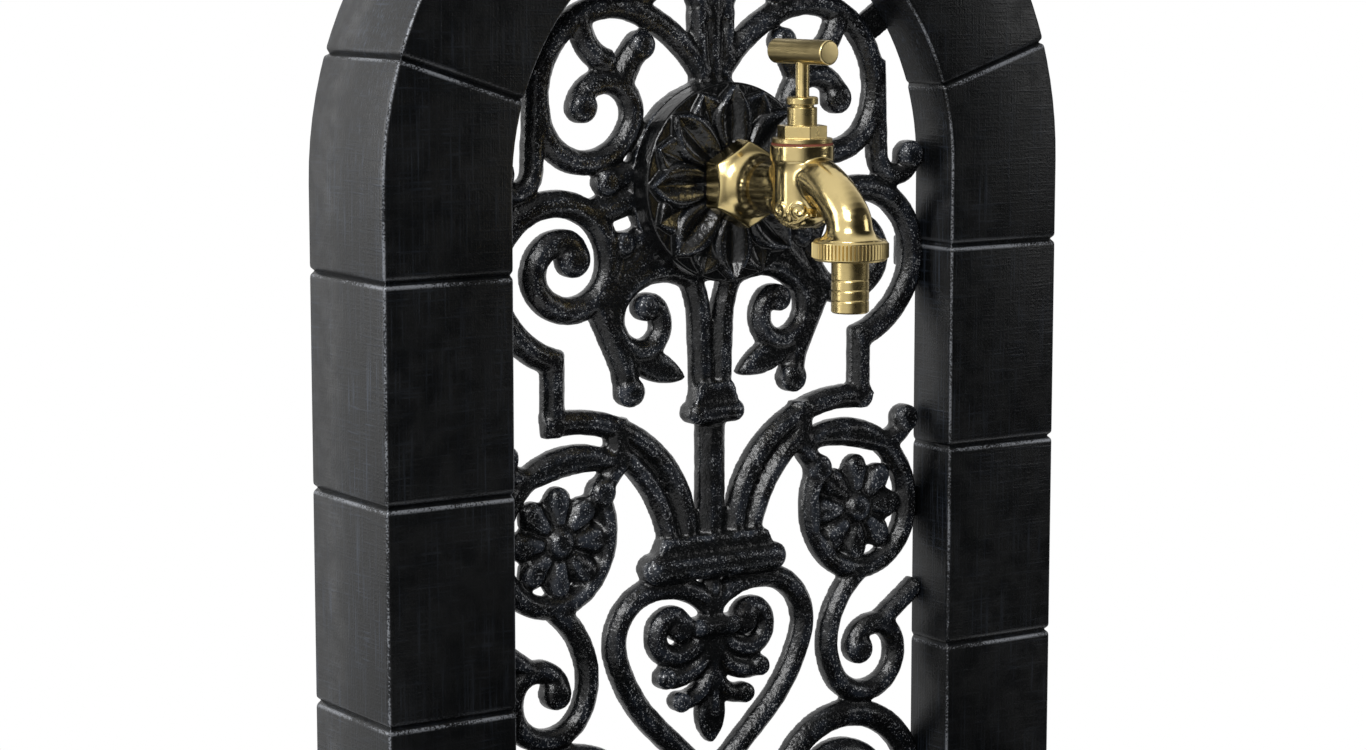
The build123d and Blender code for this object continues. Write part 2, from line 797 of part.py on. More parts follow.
inlet_axis = Axis((0, face_y, tap_z), (0, 1, 0))
barrel_axis = Axis((0, face_y + barrel_depth, tap_z), (0, 0, 1))
outlet_axis = Axis((0, face_y + outlet_depth, tap_z), (0, 0, 1))
flange_back = boss_front - wall_washer_thickness
flange_front = flange_back - flange_length
tail_end = flange_back + tail_length
tail_radius = tail_diameter / 2
outlet_end = nut_top - outlet_length

# The spout leaves the barrel on a slope, bends gently and then turns down to the outlet
bend_radius, bend_angle = spout_bend
turn_radius, turn_angle = spout_turn
slope = radians(spout_slope)
bent = radians(spout_slope + bend_angle)
spout_reach = bend_radius * (sin(bent) - sin(slope)) + turn_radius * (1 - sin(bent))
spout_fall = bend_radius * (cos(slope) - cos(bent)) + turn_radius * cos(bent)
spout_end = nut_top + outlet_flare_height
bend_start = (outlet_depth + spout_reach, spout_end + spout_fall)
spout_root = (barrel_depth - bend_start[0]) / cos(slope)
spout_start = (barrel_depth, bend_start[1] + spout_root * sin(slope))


def spout_tube(radius, drop):
    """Round bar along the spout's centre line, down to a drop under the end of its last bend."""
    path = route_on(side, spout_start, 180 + spout_slope,
                    [(spout_root,), (bend_radius, bend_angle), (turn_radius, turn_angle), (drop,)])
    with BuildSketch(Plane(origin=path @ 0, z_dir=path % 0)) as section:
        Circle(radius)
    return sweep(section.sketch, path=path, mode=Mode.PRIVATE)


with BuildPart() as tap_body:
    add(hexagon(inlet_plane(flange_back), flange_across_flats, flange_length, 30))
    outside = flange_across_flats * 0.65
    add(turned([(flange_front - cut_over, flange_corner_radius - cut_over),
                (flange_front - cut_over, outside),
                (flange_front + (outside - flange_corner_radius) * flange_corner_slope, outside),
                (flange_front, flange_corner_radius)], inlet_axis), mode=Mode.SUBTRACT)
    add(disc(inlet_plane(tail_end), tail_radius, tail_length))
    # Neck that sweeps in from the flange to the barrel
    with BuildSketch(side) as neck:
        with BuildLine():
            Polyline((neck_waist_depth, neck_waist), (barrel_depth, neck_waist), (barrel_depth, 0),
                     (flange_front, 0), (flange_front, neck_root))
            ThreePointArc((flange_front, neck_root),
                          (flange_front - neck_sweep, neck_waist + (neck_root - neck_waist) / 3),
                          (neck_waist_depth, neck_waist))
        make_face()
    revolve(axis=inlet_axis)
    # Barrel with its domed bottom and its collar
    with BuildSketch(side) as barrel:
        with BuildLine():
            wall = barrel_depth - barrel_radius
            shoulder = Polyline((barrel_depth, barrel_bottom), (barrel_depth, barrel_top),
                                (barrel_depth - collar_radius, barrel_top),
                                (barrel_depth - collar_radius, collar_bottom),
                                (wall, collar_bottom - collar_step), (wall, barrel_shoulder))
            rounding = JernArc(shoulder @ 1, shoulder % 1, barrel_rounding, 90)
            Line(rounding @ 1, shoulder @ 0)
        make_face()
    revolve(axis=barrel_axis)
    add(spout_tube(spout_radius, spout_end - nut_top))
    add(turned([(outlet_depth, spout_end), (outlet_depth + spout_radius, spout_end),
                (outlet_depth + outlet_radius, nut_top + seat_gap),
                (outlet_depth + outlet_radius, outlet_end), (outlet_depth, outlet_end)],
               outlet_axis))
    # Waterway: inlet, lower chamber, seat, upper chamber and spout
    add(disc(inlet_plane(tail_end), inlet_bore / 2, tail_end - inlet_stop), mode=Mode.SUBTRACT)
    slant = route_on(side, (inlet_stop + feed_start, 0), 180 + feed_slope, [(feed_length,)])
    with BuildSketch(Plane(origin=slant @ 0, z_dir=slant % 0)):
        Circle(feed_radius)
    extrude(amount=feed_length, mode=Mode.SUBTRACT)
    add(disc(tap_plane(barrel_depth, chamber_bottom), chamber_radius,
             web_top - web_thickness - chamber_bottom), mode=Mode.SUBTRACT)
    add(disc(tap_plane(barrel_depth, chamber_bottom), seat_bore,
             web_top - chamber_bottom + overlap), mode=Mode.SUBTRACT)
    add(disc(tap_plane(barrel_depth, web_top), barrel_bore, barrel_top - web_top), mode=Mode.SUBTRACT)
    add(spout_tube(spout_bore, spout_end - outlet_end + overlap), mode=Mode.SUBTRACT)
save(tap_body, "tap_body")

with BuildPart() as wall_washer:
    add(disc(inlet_plane(boss_front), wall_washer_radius, wall_washer_thickness,
             tail_radius + tail_clearance))
save(wall_washer, "wall_washer")

# Rear of the tap: washer and backnut behind the panel, then the hose nipple
with BuildPart() as backnut_washer:
    add(disc(inlet_plane(panel_back + back_washer_height), back_washer_radius, back_washer_height,
             tail_radius + tail_clearance))
save(backnut_washer, "backnut_washer")

backnut_back = panel_back + back_washer_height + backnut_height
with BuildPart() as backnut:
    add(hexagon(inlet_plane(backnut_back), backnut_across_flats, backnut_height, 30))
    add(disc(inlet_plane(backnut_back), tail_radius + thread_clearance, backnut_height),
        mode=Mode.SUBTRACT)
save(backnut, "backnut")

connector_front = backnut_back + connector_gap
connector_back = connector_front + connector_length
nipple_end = connector_back + nipple_length
with BuildPart() as inlet_connector:
    add(hexagon(inlet_plane(connector_back), connector_across_flats, connector_length, 30))
    # Collar, a groove that holds the hose's clip, the nipple and its bevelled end
    add(turned([(connector_back - overlap, 0),
                (connector_back - overlap, nipple_radius + nipple_groove),
                (connector_back + nipple_collar, nipple_radius + nipple_groove),
                (connector_back + nipple_collar, nipple_radius - nipple_groove),
                (nipple_end - nipple_land, nipple_radius - nipple_groove),
                (nipple_end - nipple_land, nipple_radius),
                (nipple_end - nipple_groove, nipple_radius),
                (nipple_end, nipple_radius - nipple_groove), (nipple_end, 0)], inlet_axis))
    add(disc(inlet_plane(nipple_end), nipple_bore, nipple_end - connector_front), mode=Mode.SUBTRACT)
    add(disc(inlet_plane(tail_end + inlet_seal_height), tail_radius + thread_clearance,
             tail_end + inlet_seal_height - connector_front), mode=Mode.SUBTRACT)
save(inlet_connector, "inlet_connector")

with BuildPart() as inlet_seal:
    add(disc(inlet_plane(tail_end + inlet_seal_height), tail_radius - seat_gap, inlet_seal_height,
             nipple_bore + washer_step))
save(inlet_seal, "inlet_seal")

# Headwork, from the seat upward
washer_bottom = web_top + seat_gap
jumper_bottom = washer_bottom + seat_washer_height
jumper_top = jumper_bottom + jumper_height
spindle_bottom = jumper_top + seat_gap
thread_top = spindle_bottom + spindle_thread_length
bonnet_seat = barrel_top + bonnet_washer_thickness
hex_bottom = bonnet_seat + bonnet_flange_height
neck_bottom = hex_bottom + bonnet_hex_height
bonnet_top = neck_bottom + bonnet_neck_height
gland_bottom = bonnet_top - gland_thread_length
packing_floor = gland_bottom - packing_height
bore_top = thread_top + valve_lift + stem_room

with BuildPart() as bonnet_washer:
    add(disc(tap_plane(barrel_depth, barrel_top), bonnet_washer_radius, bonnet_washer_thickness,
             barrel_bore + thread_clearance))
save(bonnet_washer, "bonnet_washer")

with BuildPart() as bonnet:
    add(disc(tap_plane(barrel_depth, barrel_top - bonnet_thread_length),
             barrel_bore - thread_clearance, bonnet_thread_length + bonnet_washer_thickness + overlap))
    add(disc(tap_plane(barrel_depth, bonnet_seat), bonnet_flange_radius, bonnet_flange_height))
    add(hexagon(tap_plane(barrel_depth, hex_bottom), bonnet_across_flats, bonnet_hex_height,
                bonnet_turn))
    add(disc(tap_plane(barrel_depth, neck_bottom), bonnet_neck_radius, bonnet_neck_height))
    add(disc(tap_plane(barrel_depth, barrel_top - bonnet_thread_length),
             spindle_thread_radius + thread_clearance,
             bore_top - barrel_top + bonnet_thread_length), mode=Mode.SUBTRACT)
    add(disc(tap_plane(barrel_depth, bore_top - overlap), spindle_radius + thread_clearance,
             bonnet_top - bore_top + 2 * overlap), mode=Mode.SUBTRACT)
    add(disc(tap_plane(barrel_depth, packing_floor), gland_thread_radius + thread_clearance,
             bonnet_top - packing_floor + overlap), mode=Mode.SUBTRACT)
save(bonnet, "bonnet")

with BuildPart() as gland_packing:
    add(disc(tap_plane(barrel_depth, packing_floor), gland_thread_radius, packing_height,
             spindle_radius + thread_clearance))
save(gland_packing, "gland_packing")

with BuildPart() as gland_nut:
    add(disc(tap_plane(barrel_depth, gland_bottom), gland_thread_radius,
             gland_thread_length + gland_gap + overlap))
    add(bevelled_disc(tap_plane(barrel_depth, bonnet_top + gland_gap), gland_head_radius,
                      gland_head_height, gland_bevel))
    add(disc(tap_plane(barrel_depth, gland_bottom), spindle_radius + thread_clearance,
             bonnet_top - gland_bottom + gland_gap + gland_head_height), mode=Mode.SUBTRACT)
save(gland_nut, "gland_nut")

with BuildPart() as spindle:
    add(disc(tap_plane(barrel_depth, spindle_bottom), spindle_thread_radius, spindle_thread_length))
    add(disc(tap_plane(barrel_depth, thread_top - overlap), spindle_radius,
             spindle_top - thread_top + overlap))
    add(disc(tap_plane(barrel_depth, spindle_bottom), jumper_stem_radius + thread_clearance,
             jumper_stem + stem_room), mode=Mode.SUBTRACT)
save(spindle, "spindle")

with BuildPart() as handle_bar:
    toggle = Plane(origin=(0, face_y + barrel_depth, tap_z + handle_height), x_dir=(1, 0, 0),
                   z_dir=(0, -1, 0)).rotated((0, 0, handle_turn))
    with BuildSketch(toggle.offset(-handle_length / 2)):
        Circle(handle_radius)
    extrude(amount=handle_length)
    fillet(handle_bar.edges().filter_by(GeomType.CIRCLE), handle_round)
    add(disc(tap_plane(barrel_depth, handle_height - handle_radius - overlap),
             spindle_radius + press_clearance,
             spindle_top - handle_height + handle_radius + overlap), mode=Mode.SUBTRACT)
save(handle_bar, "handle_bar")

with BuildPart() as jumper_valve:
    add(disc(tap_plane(barrel_depth, jumper_bottom), jumper_radius, jumper_height))
    add(disc(tap_plane(barrel_depth, jumper_top - overlap), jumper_stem_radius, jumper_stem + overlap))
    add(disc(tap_plane(barrel_depth, washer_bottom - washer_nut_height), stud_radius,
             seat_washer_height + washer_nut_height + overlap))
save(jumper_valve, "jumper_valve")

with BuildPart() as seat_washer:
    add(disc(tap_plane(barrel_depth, washer_bottom), seat_washer_radius, seat_washer_height,
             stud_radius + thread_clearance))
save(seat_washer, "seat_washer")

with BuildPart() as washer_nut:
    add(hexagon(tap_plane(barrel_depth, washer_bottom - washer_nut_height), 2 * washer_nut_radius,
                washer_nut_height))
    add(disc(tap_plane(barrel_depth, washer_bottom - washer_nut_height), stud_radius + thread_clearance,
             washer_nut_height), mode=Mode.SUBTRACT)
save(washer_nut, "washer_nut")

# Hose union: knurled nut, tail and washer
nut_bottom = nut_top - nut_height
tail_flange_bottom = nut_bottom + nut_lip + seat_gap / 2
tail_flange_top = tail_flange_bottom + hose_tail_flange
hose_washer_bottom = tail_flange_top + seat_gap / 2
hose_washer_height = outlet_end - seat_gap / 2 - hose_washer_bottom

with BuildPart() as union_nut:
    knurls = []
    for number in range(2 * nut_knurls):
        angle = radians(180 / nut_knurls * number)
        reach = nut_radius - (knurl_depth if number % 2 else 0)
        knurls.append((reach * cos(angle), reach * sin(angle)))
    with BuildSketch(tap_plane(outlet_depth, nut_bottom)):
        Polygon(*knurls, align=None)
    extrude(amount=nut_height)
    add(disc(tap_plane(outlet_depth, nut_bottom), hose_tail_radius + nut_tail_clearance, nut_height),
        mode=Mode.SUBTRACT)
    add(disc(tap_plane(outlet_depth, nut_bottom + nut_lip), outlet_radius + union_clearance, nut_height),
        mode=Mode.SUBTRACT)
save(union_nut, "union_nut")

with BuildPart() as hose_tail:
    add(disc(tap_plane(outlet_depth, tail_flange_bottom), hose_tail_flange_radius, hose_tail_flange))
    wall = outlet_depth - hose_tail_radius
    neck = wall + hose_neck_relief
    neck_end = nut_bottom - seat_gap
    barbs = [(outlet_depth, tail_flange_top - overlap), (neck, tail_flange_top - overlap),
             (neck, neck_end), (wall, neck_end)]
    for number in range(hose_tail_barbs):
        top = nut_bottom - plain_tail - number * barb_pitch
        barbs += [(wall, top), (wall + barb_depth, top - barb_depth),
                  (wall, top - 3 * barb_depth)]
    barbs += [(wall, hose_tail_bottom + hose_tail_bevel), (wall + hose_tail_bevel, hose_tail_bottom),
              (outlet_depth, hose_tail_bottom)]
    add(turned(barbs, outlet_axis))
    add(disc(tap_plane(outlet_depth, hose_tail_bottom), hose_tail_bore,
             tail_flange_top - hose_tail_bottom), mode=Mode.SUBTRACT)
save(hose_tail, "hose_tail")

with BuildPart() as hose_washer:
    add(disc(tap_plane(outlet_depth, hose_washer_bottom), hose_tail_flange_radius, hose_washer_height,
             hose_tail_bore + washer_step))
save(hose_washer, "hose_washer")

# Drain in the basin's floor
floor_low = floor_z - basin_floor_fall
flange_seat = floor_low + drain_gasket_height


def drain_plane(height):
    """Level plane on the drain's axis."""
    return Plane(origin=(0, drain_y, height))


with BuildPart() as drain_gasket:
    add(disc(drain_plane(floor_low), drain_flange_radius, drain_gasket_height,
             drain_tail_radius + tail_clearance))
save(drain_gasket, "drain_gasket")

with BuildPart() as drain_flange:
    add(disc(drain_plane(flange_seat), drain_flange_radius, drain_flange_height))
    add(disc(drain_plane(flange_seat - drain_tail_length), drain_tail_radius, drain_tail_length + overlap))
    add(disc(drain_plane(flange_seat - drain_tail_length - drain_spigot_length),
             drain_spigot_radius, drain_spigot_length + overlap))
    add(disc(drain_plane(flange_seat - drain_tail_length - drain_spigot_length), drain_bore,
             drain_tail_length + drain_spigot_length + drain_flange_height), mode=Mode.SUBTRACT)
    add(disc(drain_plane(flange_seat + drain_flange_height - strainer_height),
             strainer_radius + press_clearance, strainer_height), mode=Mode.SUBTRACT)
save(drain_flange, "drain_flange")

with BuildPart() as drain_strainer:
    add(disc(drain_plane(flange_seat + drain_flange_height - strainer_height), strainer_radius,
             strainer_height))
    with BuildSketch(drain_plane(flange_seat + drain_flange_height - strainer_height)):
        with PolarLocations(strainer_radius * 0.56, strainer_holes):
            Circle(strainer_hole_radius)
        Circle(strainer_hole_radius)
    extrude(amount=strainer_height, mode=Mode.SUBTRACT)
save(drain_strainer, "drain_strainer")

floor_under = floor_low - basin_floor
with BuildPart() as drain_backnut:
    add(hexagon(drain_plane(floor_under - drain_nut_height), drain_nut_across_flats,
                drain_nut_height))
    add(disc(drain_plane(floor_under - drain_nut_height), drain_tail_radius + thread_clearance,
             drain_nut_height), mode=Mode.SUBTRACT)
save(drain_backnut, "drain_backnut")


# Fasteners

def bolt(plane, grip):
    """Hexagon bolt whose head lies behind a plane and whose shank runs along its normal."""
    head = hexagon(plane.offset(-bolt_head_height), bolt_head_flats, bolt_head_height)
    shank = disc(plane.offset(-overlap), bolt_diameter / 2, grip + nut_thickness + bolt_spare + overlap)
    return head.fuse(shank)


def bolt_nut(plane):
    """Hexagon nut that stands on a plane."""
    return hexagon(plane, nut_flats, nut_thickness) - disc(
        plane, bolt_diameter / 2 + thread_clearance, nut_thickness)


base_grip = plinth_plate + foot_plate
with BuildPart() as base_bolts:
    add([bolt(Plane(origin=(x, y, plinth_height - plinth_plate)), base_grip)
         for x, y in base_bolt_spots])
save(base_bolts, "base_bolts")

with BuildPart() as base_nuts:
    add([bolt_nut(Plane(origin=(x, y, plinth_height + foot_plate))) for x, y in base_bolt_spots])
save(base_nuts, "base_nuts")

wall_grip = basin_wall + shell_wall
wall_places = [Plane(origin=(x, face_y - basin_wall, basin_bolt_z), x_dir=(1, 0, 0), z_dir=(0, 1, 0))
               for x in (-leg_centre, leg_centre)]
with BuildPart() as basin_bolts:
    add([bolt(place, wall_grip) for place in wall_places])
save(basin_bolts, "basin_bolts")

with BuildPart() as basin_nuts:
    add([bolt_nut(place.offset(wall_grip)) for place in wall_places])
save(basin_nuts, "basin_nuts")

with BuildPart() as grille_screws:
    for x, z, _ in ear_screws:
        seat = Plane(origin=(x, face_y + ear_front + ear_thickness, springing_z + z),
                     x_dir=(1, 0, 0), z_dir=(0, 1, 0))
        add(bevelled_disc(seat, screw_head_radius, screw_head_height, screw_bevel))
        add(disc(seat.offset(-screw_length), screw_diameter / 2 - thread_clearance,
                 screw_length + overlap))
save(grille_screws, "grille_screws")
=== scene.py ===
"""Looks of a garden water fountain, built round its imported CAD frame.

The cast arch, the scrollwork panel, the rosette boss and the brass tap get their cast,
turned and polished surfaces here. Metres, +Z up, and the front faces -Y.
"""

from __future__ import annotations

import logging
import math
from collections.abc import Callable, Iterable, Sequence
from dataclasses import dataclass, field
from enum import Enum
from typing import Any

import bmesh
import bpy
import numpy as np
from mathutils import Matrix, Vector

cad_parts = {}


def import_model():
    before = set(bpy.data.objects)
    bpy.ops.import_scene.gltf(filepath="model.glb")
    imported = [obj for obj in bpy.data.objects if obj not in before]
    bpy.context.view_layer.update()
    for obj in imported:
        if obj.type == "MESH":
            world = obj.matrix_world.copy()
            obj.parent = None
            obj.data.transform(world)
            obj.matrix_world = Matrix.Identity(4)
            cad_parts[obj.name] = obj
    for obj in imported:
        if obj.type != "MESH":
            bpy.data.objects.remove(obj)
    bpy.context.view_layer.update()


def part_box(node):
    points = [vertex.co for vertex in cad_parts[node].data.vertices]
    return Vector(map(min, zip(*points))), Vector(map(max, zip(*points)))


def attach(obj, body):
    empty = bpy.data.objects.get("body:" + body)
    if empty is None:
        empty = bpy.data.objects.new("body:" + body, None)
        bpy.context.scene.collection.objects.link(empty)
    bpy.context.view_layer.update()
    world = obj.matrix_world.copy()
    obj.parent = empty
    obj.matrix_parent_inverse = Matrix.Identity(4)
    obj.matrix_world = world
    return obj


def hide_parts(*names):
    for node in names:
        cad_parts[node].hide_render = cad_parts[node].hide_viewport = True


LOG = logging.getLogger("fountain")
MM = 0.001
# Points of a CAD mesh, and of a turned one, that lie this close are one point
CAD_MERGE = 0.002 * MM
TURNED_MERGE = 0.001 * MM
# Radius of a turned piece at its poles, too small to see
POLE = 0.01 * MM
# Edges sharper than this, in degrees, stay sharp and get a rounding
SHARP = 32.0
# Angle past which no edge lies, for a mesh that is smooth all over
ALL_SMOOTH = 180.0
# Degrees between the points of a rounding
ROUND_STEP = 22.5


# Small tools


def linear(colour: str) -> tuple[float, float, float, float]:
    """Turns an sRGB hex colour into linear red, green and blue, with an alpha of 1."""
    channels = [int(colour[start:start + 2], 16) / 255 for start in (1, 3, 5)]
    return (*(c / 12.92 if c <= 0.04045 else ((c + 0.055) / 1.055) ** 2.4 for c in channels), 1.0)


def add_node(
    tree: bpy.types.NodeTree, kind: str, inputs: dict[str | int, Any] | None = None, **settings: Any
) -> bpy.types.Node:
    """Adds a node with its settings and its input values or links.

    Args:
        tree: Tree that the node joins.
        kind: Type name of the node.
        inputs: Values, output sockets or nodes (their first output) by input name or number.
        **settings: Properties of the node.

    Returns:
        The new node.
    """
    node = tree.nodes.new(kind)
    for name, value in settings.items():
        setattr(node, name, value)
    set_inputs(tree, node, inputs or {})
    return node


def set_inputs(tree: bpy.types.NodeTree, node: bpy.types.Node, inputs: dict[str | int, Any]
               ) -> None:
    """Sets a node's inputs: a plain value on the socket, anything else through a link.

    Args:
        tree: Tree of the node.
        node: Node that is set.
        inputs: Values, output sockets or nodes (their first output) by input name or number.
    """
    for key, value in inputs.items():
        if isinstance(value, bpy.types.Node):
            value = value.outputs[0]
        if isinstance(value, bpy.types.NodeSocket):
            tree.links.new(value, node.inputs[key])
        else:
            node.inputs[key].default_value = value


def cleared_tree(owner: bpy.types.Material | bpy.types.World) -> bpy.types.NodeTree:
    """Turns on the nodes of a material or of the world and empties its tree.

    Args:
        owner: Material or world.

    Returns:
        The empty tree.
    """
    owner.use_nodes = True
    owner.node_tree.nodes.clear()
    return owner.node_tree


def new_object(name: str, mesh: bpy.types.Mesh) -> bpy.types.Object:
    """Links an object with this mesh, at the origin.

    Args:
        name: Name of the object.
        mesh: Its mesh.

    Returns:
        The object.
    """
    piece = bpy.data.objects.new(name, mesh)
    bpy.context.scene.collection.objects.link(piece)
    return piece


def plain(piece: bpy.types.Object) -> bpy.types.Object:
    """Turns the evaluated modifiers of a piece into its mesh.

    Args:
        piece: Object with live modifiers.

    Returns:
        The same object with a plain mesh and no modifiers.
    """
    graph = bpy.context.evaluated_depsgraph_get()
    graph.update()
    mesh = bpy.data.meshes.new_from_object(piece.evaluated_get(graph), depsgraph=graph)
    mesh.name = piece.name
    piece.modifiers.clear()
    old = piece.data
    piece.data = mesh
    if old.users == 0:
        bpy.data.meshes.remove(old)
    return piece


def merged_copy(node: str, name: str, flat: float = 0.25) -> bpy.types.Object:
    """Copies a CAD node's mesh with its loose triangles joined and its flat faces made whole.

    Args:
        node: Name of the CAD node.
        name: Name of the new piece.
        flat: Greatest angle in degrees between faces that are taken as one plane.

    Returns:
        The new object.
    """
    shape = bmesh.new()
    shape.from_mesh(bpy.data.objects[node].data)
    bmesh.ops.remove_doubles(shape, verts=shape.verts, dist=CAD_MERGE)
    bmesh.ops.recalc_face_normals(shape, faces=shape.faces)
    if flat:
        bmesh.ops.dissolve_limit(
            shape, angle_limit=math.radians(flat), verts=shape.verts, edges=shape.edges)
    mesh = bpy.data.meshes.new(name)
    shape.to_mesh(mesh)
    shape.free()
    return new_object(name, mesh)


def closed_up(mesh: bpy.types.Mesh, gap: float = 0.0) -> None:
    """Turns the faces of a mesh outwards, after its doubled points are merged.

    Args:
        mesh: Closed or open mesh.
        gap: Distance in metres within which points are merged, 0 for no merging.
    """
    shape = bmesh.new()
    shape.from_mesh(mesh)
    if gap:
        bmesh.ops.remove_doubles(shape, verts=shape.verts, dist=gap)
    bmesh.ops.recalc_face_normals(shape, faces=shape.faces)
    shape.to_mesh(mesh)
    shape.free()


def smooth_by_angle(mesh: bpy.types.Mesh, degrees: float = SHARP) -> None:
    """Shades a mesh smooth, with edges sharp past an angle."""
    mesh.polygons.foreach_set("use_smooth", [True] * len(mesh.polygons))
    mesh.set_sharp_from_angle(angle=math.radians(degrees))


def eased(piece: bpy.types.Object, width: float, segments: int = 2, edge_slot: int = -1
          ) -> bpy.types.Object:
    """Rounds the edges of a piece a little, as tumbling or casting leaves them.

    Args:
        piece: Object to round.
        width: Width of the rounding in metres.
        segments: Steps across each rounding.
        edge_slot: Material slot of the roundings, -1 for that of the faces beside them.

    Returns:
        The same object with a plain mesh.
    """
    smooth_by_angle(piece.data)
    rounding = piece.modifiers.new("rounding", "BEVEL")
    rounding.width = width
    rounding.segments = segments
    rounding.limit_method = "ANGLE"
    rounding.angle_limit = math.radians(SHARP)
    rounding.use_clamp_overlap = True
    rounding.harden_normals = True
    rounding.material = edge_slot
    return plain(piece)


def joined(name: str, pieces: Iterable[bpy.types.Object]) -> bpy.types.Object:
    """Puts the meshes of several objects into one new object.

    Args:
        name: Name of the new object.
        pieces: Objects to join, which are removed.

    Returns:
        The new object.
    """
    shape = bmesh.new()
    for piece in pieces:
        shape.from_mesh(piece.data)
        bpy.data.objects.remove(piece)
    mesh = bpy.data.meshes.new(name)
    shape.to_mesh(mesh)
    shape.free()
    return new_object(name, mesh)


def grid_piece(
    name: str,
    rows: Sequence[Sequence[Vector]],
    wrap: bool = True,
    capped: bool = False,
    marks: dict[str, Sequence[Sequence[float]]] | None = None,
) -> bpy.types.Object:
    """Makes a surface from rows of points.

    Args:
        name: Name of the piece.
        rows: Rows with equal numbers of points.
        wrap: Whether each row closes on itself.
        capped: Whether the first and last row are filled.
        marks: Number attributes by name, in rows like the points.

    Returns:
        The new object, its faces turned outwards.
    """
    across = len(rows[0])
    points = [tuple(point) for row in rows for point in row]
    faces: list[tuple[int, ...]] = []
    for row in range(len(rows) - 1):
        for column in range(across if wrap else across - 1):
            after = (column + 1) % across
            first = row * across
            faces.append((first + column, first + after, first + across + after,
                          first + across + column))
    if capped:
        faces.append(tuple(range(across - 1, -1, -1)))
        faces.append(tuple((len(rows) - 1) * across + column for column in range(across)))
    mesh = bpy.data.meshes.new(name)
    mesh.from_pydata(points, [], faces)
    for mark, values in (marks or {}).items():
        layer = mesh.attributes.new(mark, "FLOAT", "POINT")
        layer.data.foreach_set("value", [value for row in values for value in row])
    closed_up(mesh)
    return new_object(name, mesh)


def turned(name: str, centre: Vector, profile: Sequence[tuple[float, float]], axis: str = "Z",
           steps: int = 96) -> bpy.types.Object:
    """Makes a closed turned piece from a profile.

    Args:
        name: Name of the piece.
        centre: Origin of the profile.
        profile: Closed loop of (radius, height) points in metres.
        axis: World axis that the profile turns about.
        steps: Faces round the piece.

    Returns:
        The new object.
    """
    rows = []
    for number in range(steps + 1):
        angle = 2 * math.pi * number / steps
        row = []
        for radius, height in profile:
            u, v = radius * math.cos(angle), radius * math.sin(angle)
            offset = {"X": (height, u, v), "Y": (u, height, v), "Z": (u, v, height)}[axis]
            row.append(centre + Vector(offset))
        rows.append(row)
    piece = grid_piece(name, rows)
    closed_up(piece.data, TURNED_MERGE)
    smooth_by_angle(piece.data, 38)
    return piece


def add_softening(piece: bpy.types.Object, rounds: int) -> None:
    """Puts a smoothing modifier on a piece.

    Args:
        piece: Finely meshed piece.
        rounds: Smoothing passes.
    """
    soften = piece.modifiers.new("soften", "SMOOTH")
    soften.factor = 0.5
    soften.iterations = rounds


def from_voxels(piece: bpy.types.Object, size: float, rounds: int) -> bpy.types.Object:
    """Remeshes a closed piece evenly and softens it like a casting.

    Args:
        piece: Closed object.
        size: Edge of one voxel in metres.
        rounds: Smoothing passes.

    Returns:
        The same object with a plain mesh.
    """
    voxels = piece.modifiers.new("voxels", "REMESH")
    voxels.mode = "VOXEL"
    voxels.voxel_size = size
    voxels.use_smooth_shade = True
    add_softening(piece, rounds)
    return plain(piece)


def thinned(piece: bpy.types.Object, most: int = 190_000) -> bpy.types.Object:
    """Collapses edges until a piece has no more than some number of triangles.

    Args:
        piece: Finely meshed piece.
        most: Greatest number of triangles.

    Returns:
        The same object.
    """
    count = sum(len(face.vertices) - 2 for face in piece.data.polygons)
    if count > most:
        fewer = piece.modifiers.new("fewer", "DECIMATE")
        fewer.ratio = most / count
        plain(piece)
    return piece


def vertex_arrays(mesh: bpy.types.Mesh) -> tuple[np.ndarray, np.ndarray]:
    """Reads the places and the normals of a mesh's vertices.

    Args:
        mesh: Mesh.

    Returns:
        Two arrays with a row for each vertex.
    """
    places = np.empty(len(mesh.vertices) * 3)
    mesh.vertices.foreach_get("co", places)
    normals = np.empty(len(mesh.vertices) * 3)
    mesh.vertex_normals.foreach_get("vector", normals)
    return places.reshape(-1, 3), normals.reshape(-1, 3)


def set_places(mesh: bpy.types.Mesh, places: np.ndarray) -> None:
    """Moves the vertices of a mesh to new places."""
    mesh.vertices.foreach_set("co", places.ravel())
    mesh.update()


class VertexMean:
    """Averages values over the neighbours of each vertex."""

    def __init__(self, mesh: bpy.types.Mesh, kept: np.ndarray | None = None) -> None:
        """Reads the edges of a mesh.

        Args:
            mesh: Mesh.
            kept: Whether each vertex needs its average; for all of them where left out.
        """
        ends = np.empty(len(mesh.edges) * 2, dtype=np.int64)
        mesh.edges.foreach_get("vertices", ends)
        self.first, self.second = ends.reshape(-1, 2).T
        if kept is not None:
            used = kept[self.first] | kept[self.second]
            self.first, self.second = self.first[used], self.second[used]
        self.total = len(mesh.vertices)
        self.count = np.maximum(np.bincount(self.first, minlength=self.total)
                                + np.bincount(self.second, minlength=self.total), 1)

    def of(self, values: np.ndarray) -> np.ndarray:
        """Averages values over the neighbours of each vertex.

        Args:
            values: One number, or one row of numbers, for each vertex.

        Returns:
            The averages, in the same shape.
        """
        if values.ndim == 2:
            return np.stack([self.of(column) for column in values.T], axis=1)
        return (np.bincount(self.first, values[self.second], self.total)
                + np.bincount(self.second, values[self.first], self.total)) / self.count

    def bending(self, mesh: bpy.types.Mesh, rounds: int) -> np.ndarray:
        """Works out how ridge-like each vertex is.

        Args:
            mesh: Evenly meshed casting.
            rounds: Passes that even it out.

        Returns:
            Numbers above 0 on ridges and below 0 in hollows.
        """
        places, normals = vertex_arrays(mesh)
        step = np.linalg.norm(places[self.first] - places[self.second], axis=1).mean()
        bend = -((self.of(places) - places) * normals).sum(axis=1) / step
        for _ in range(rounds):
            bend = 0.5 * bend + 0.5 * self.of(bend)
        return bend


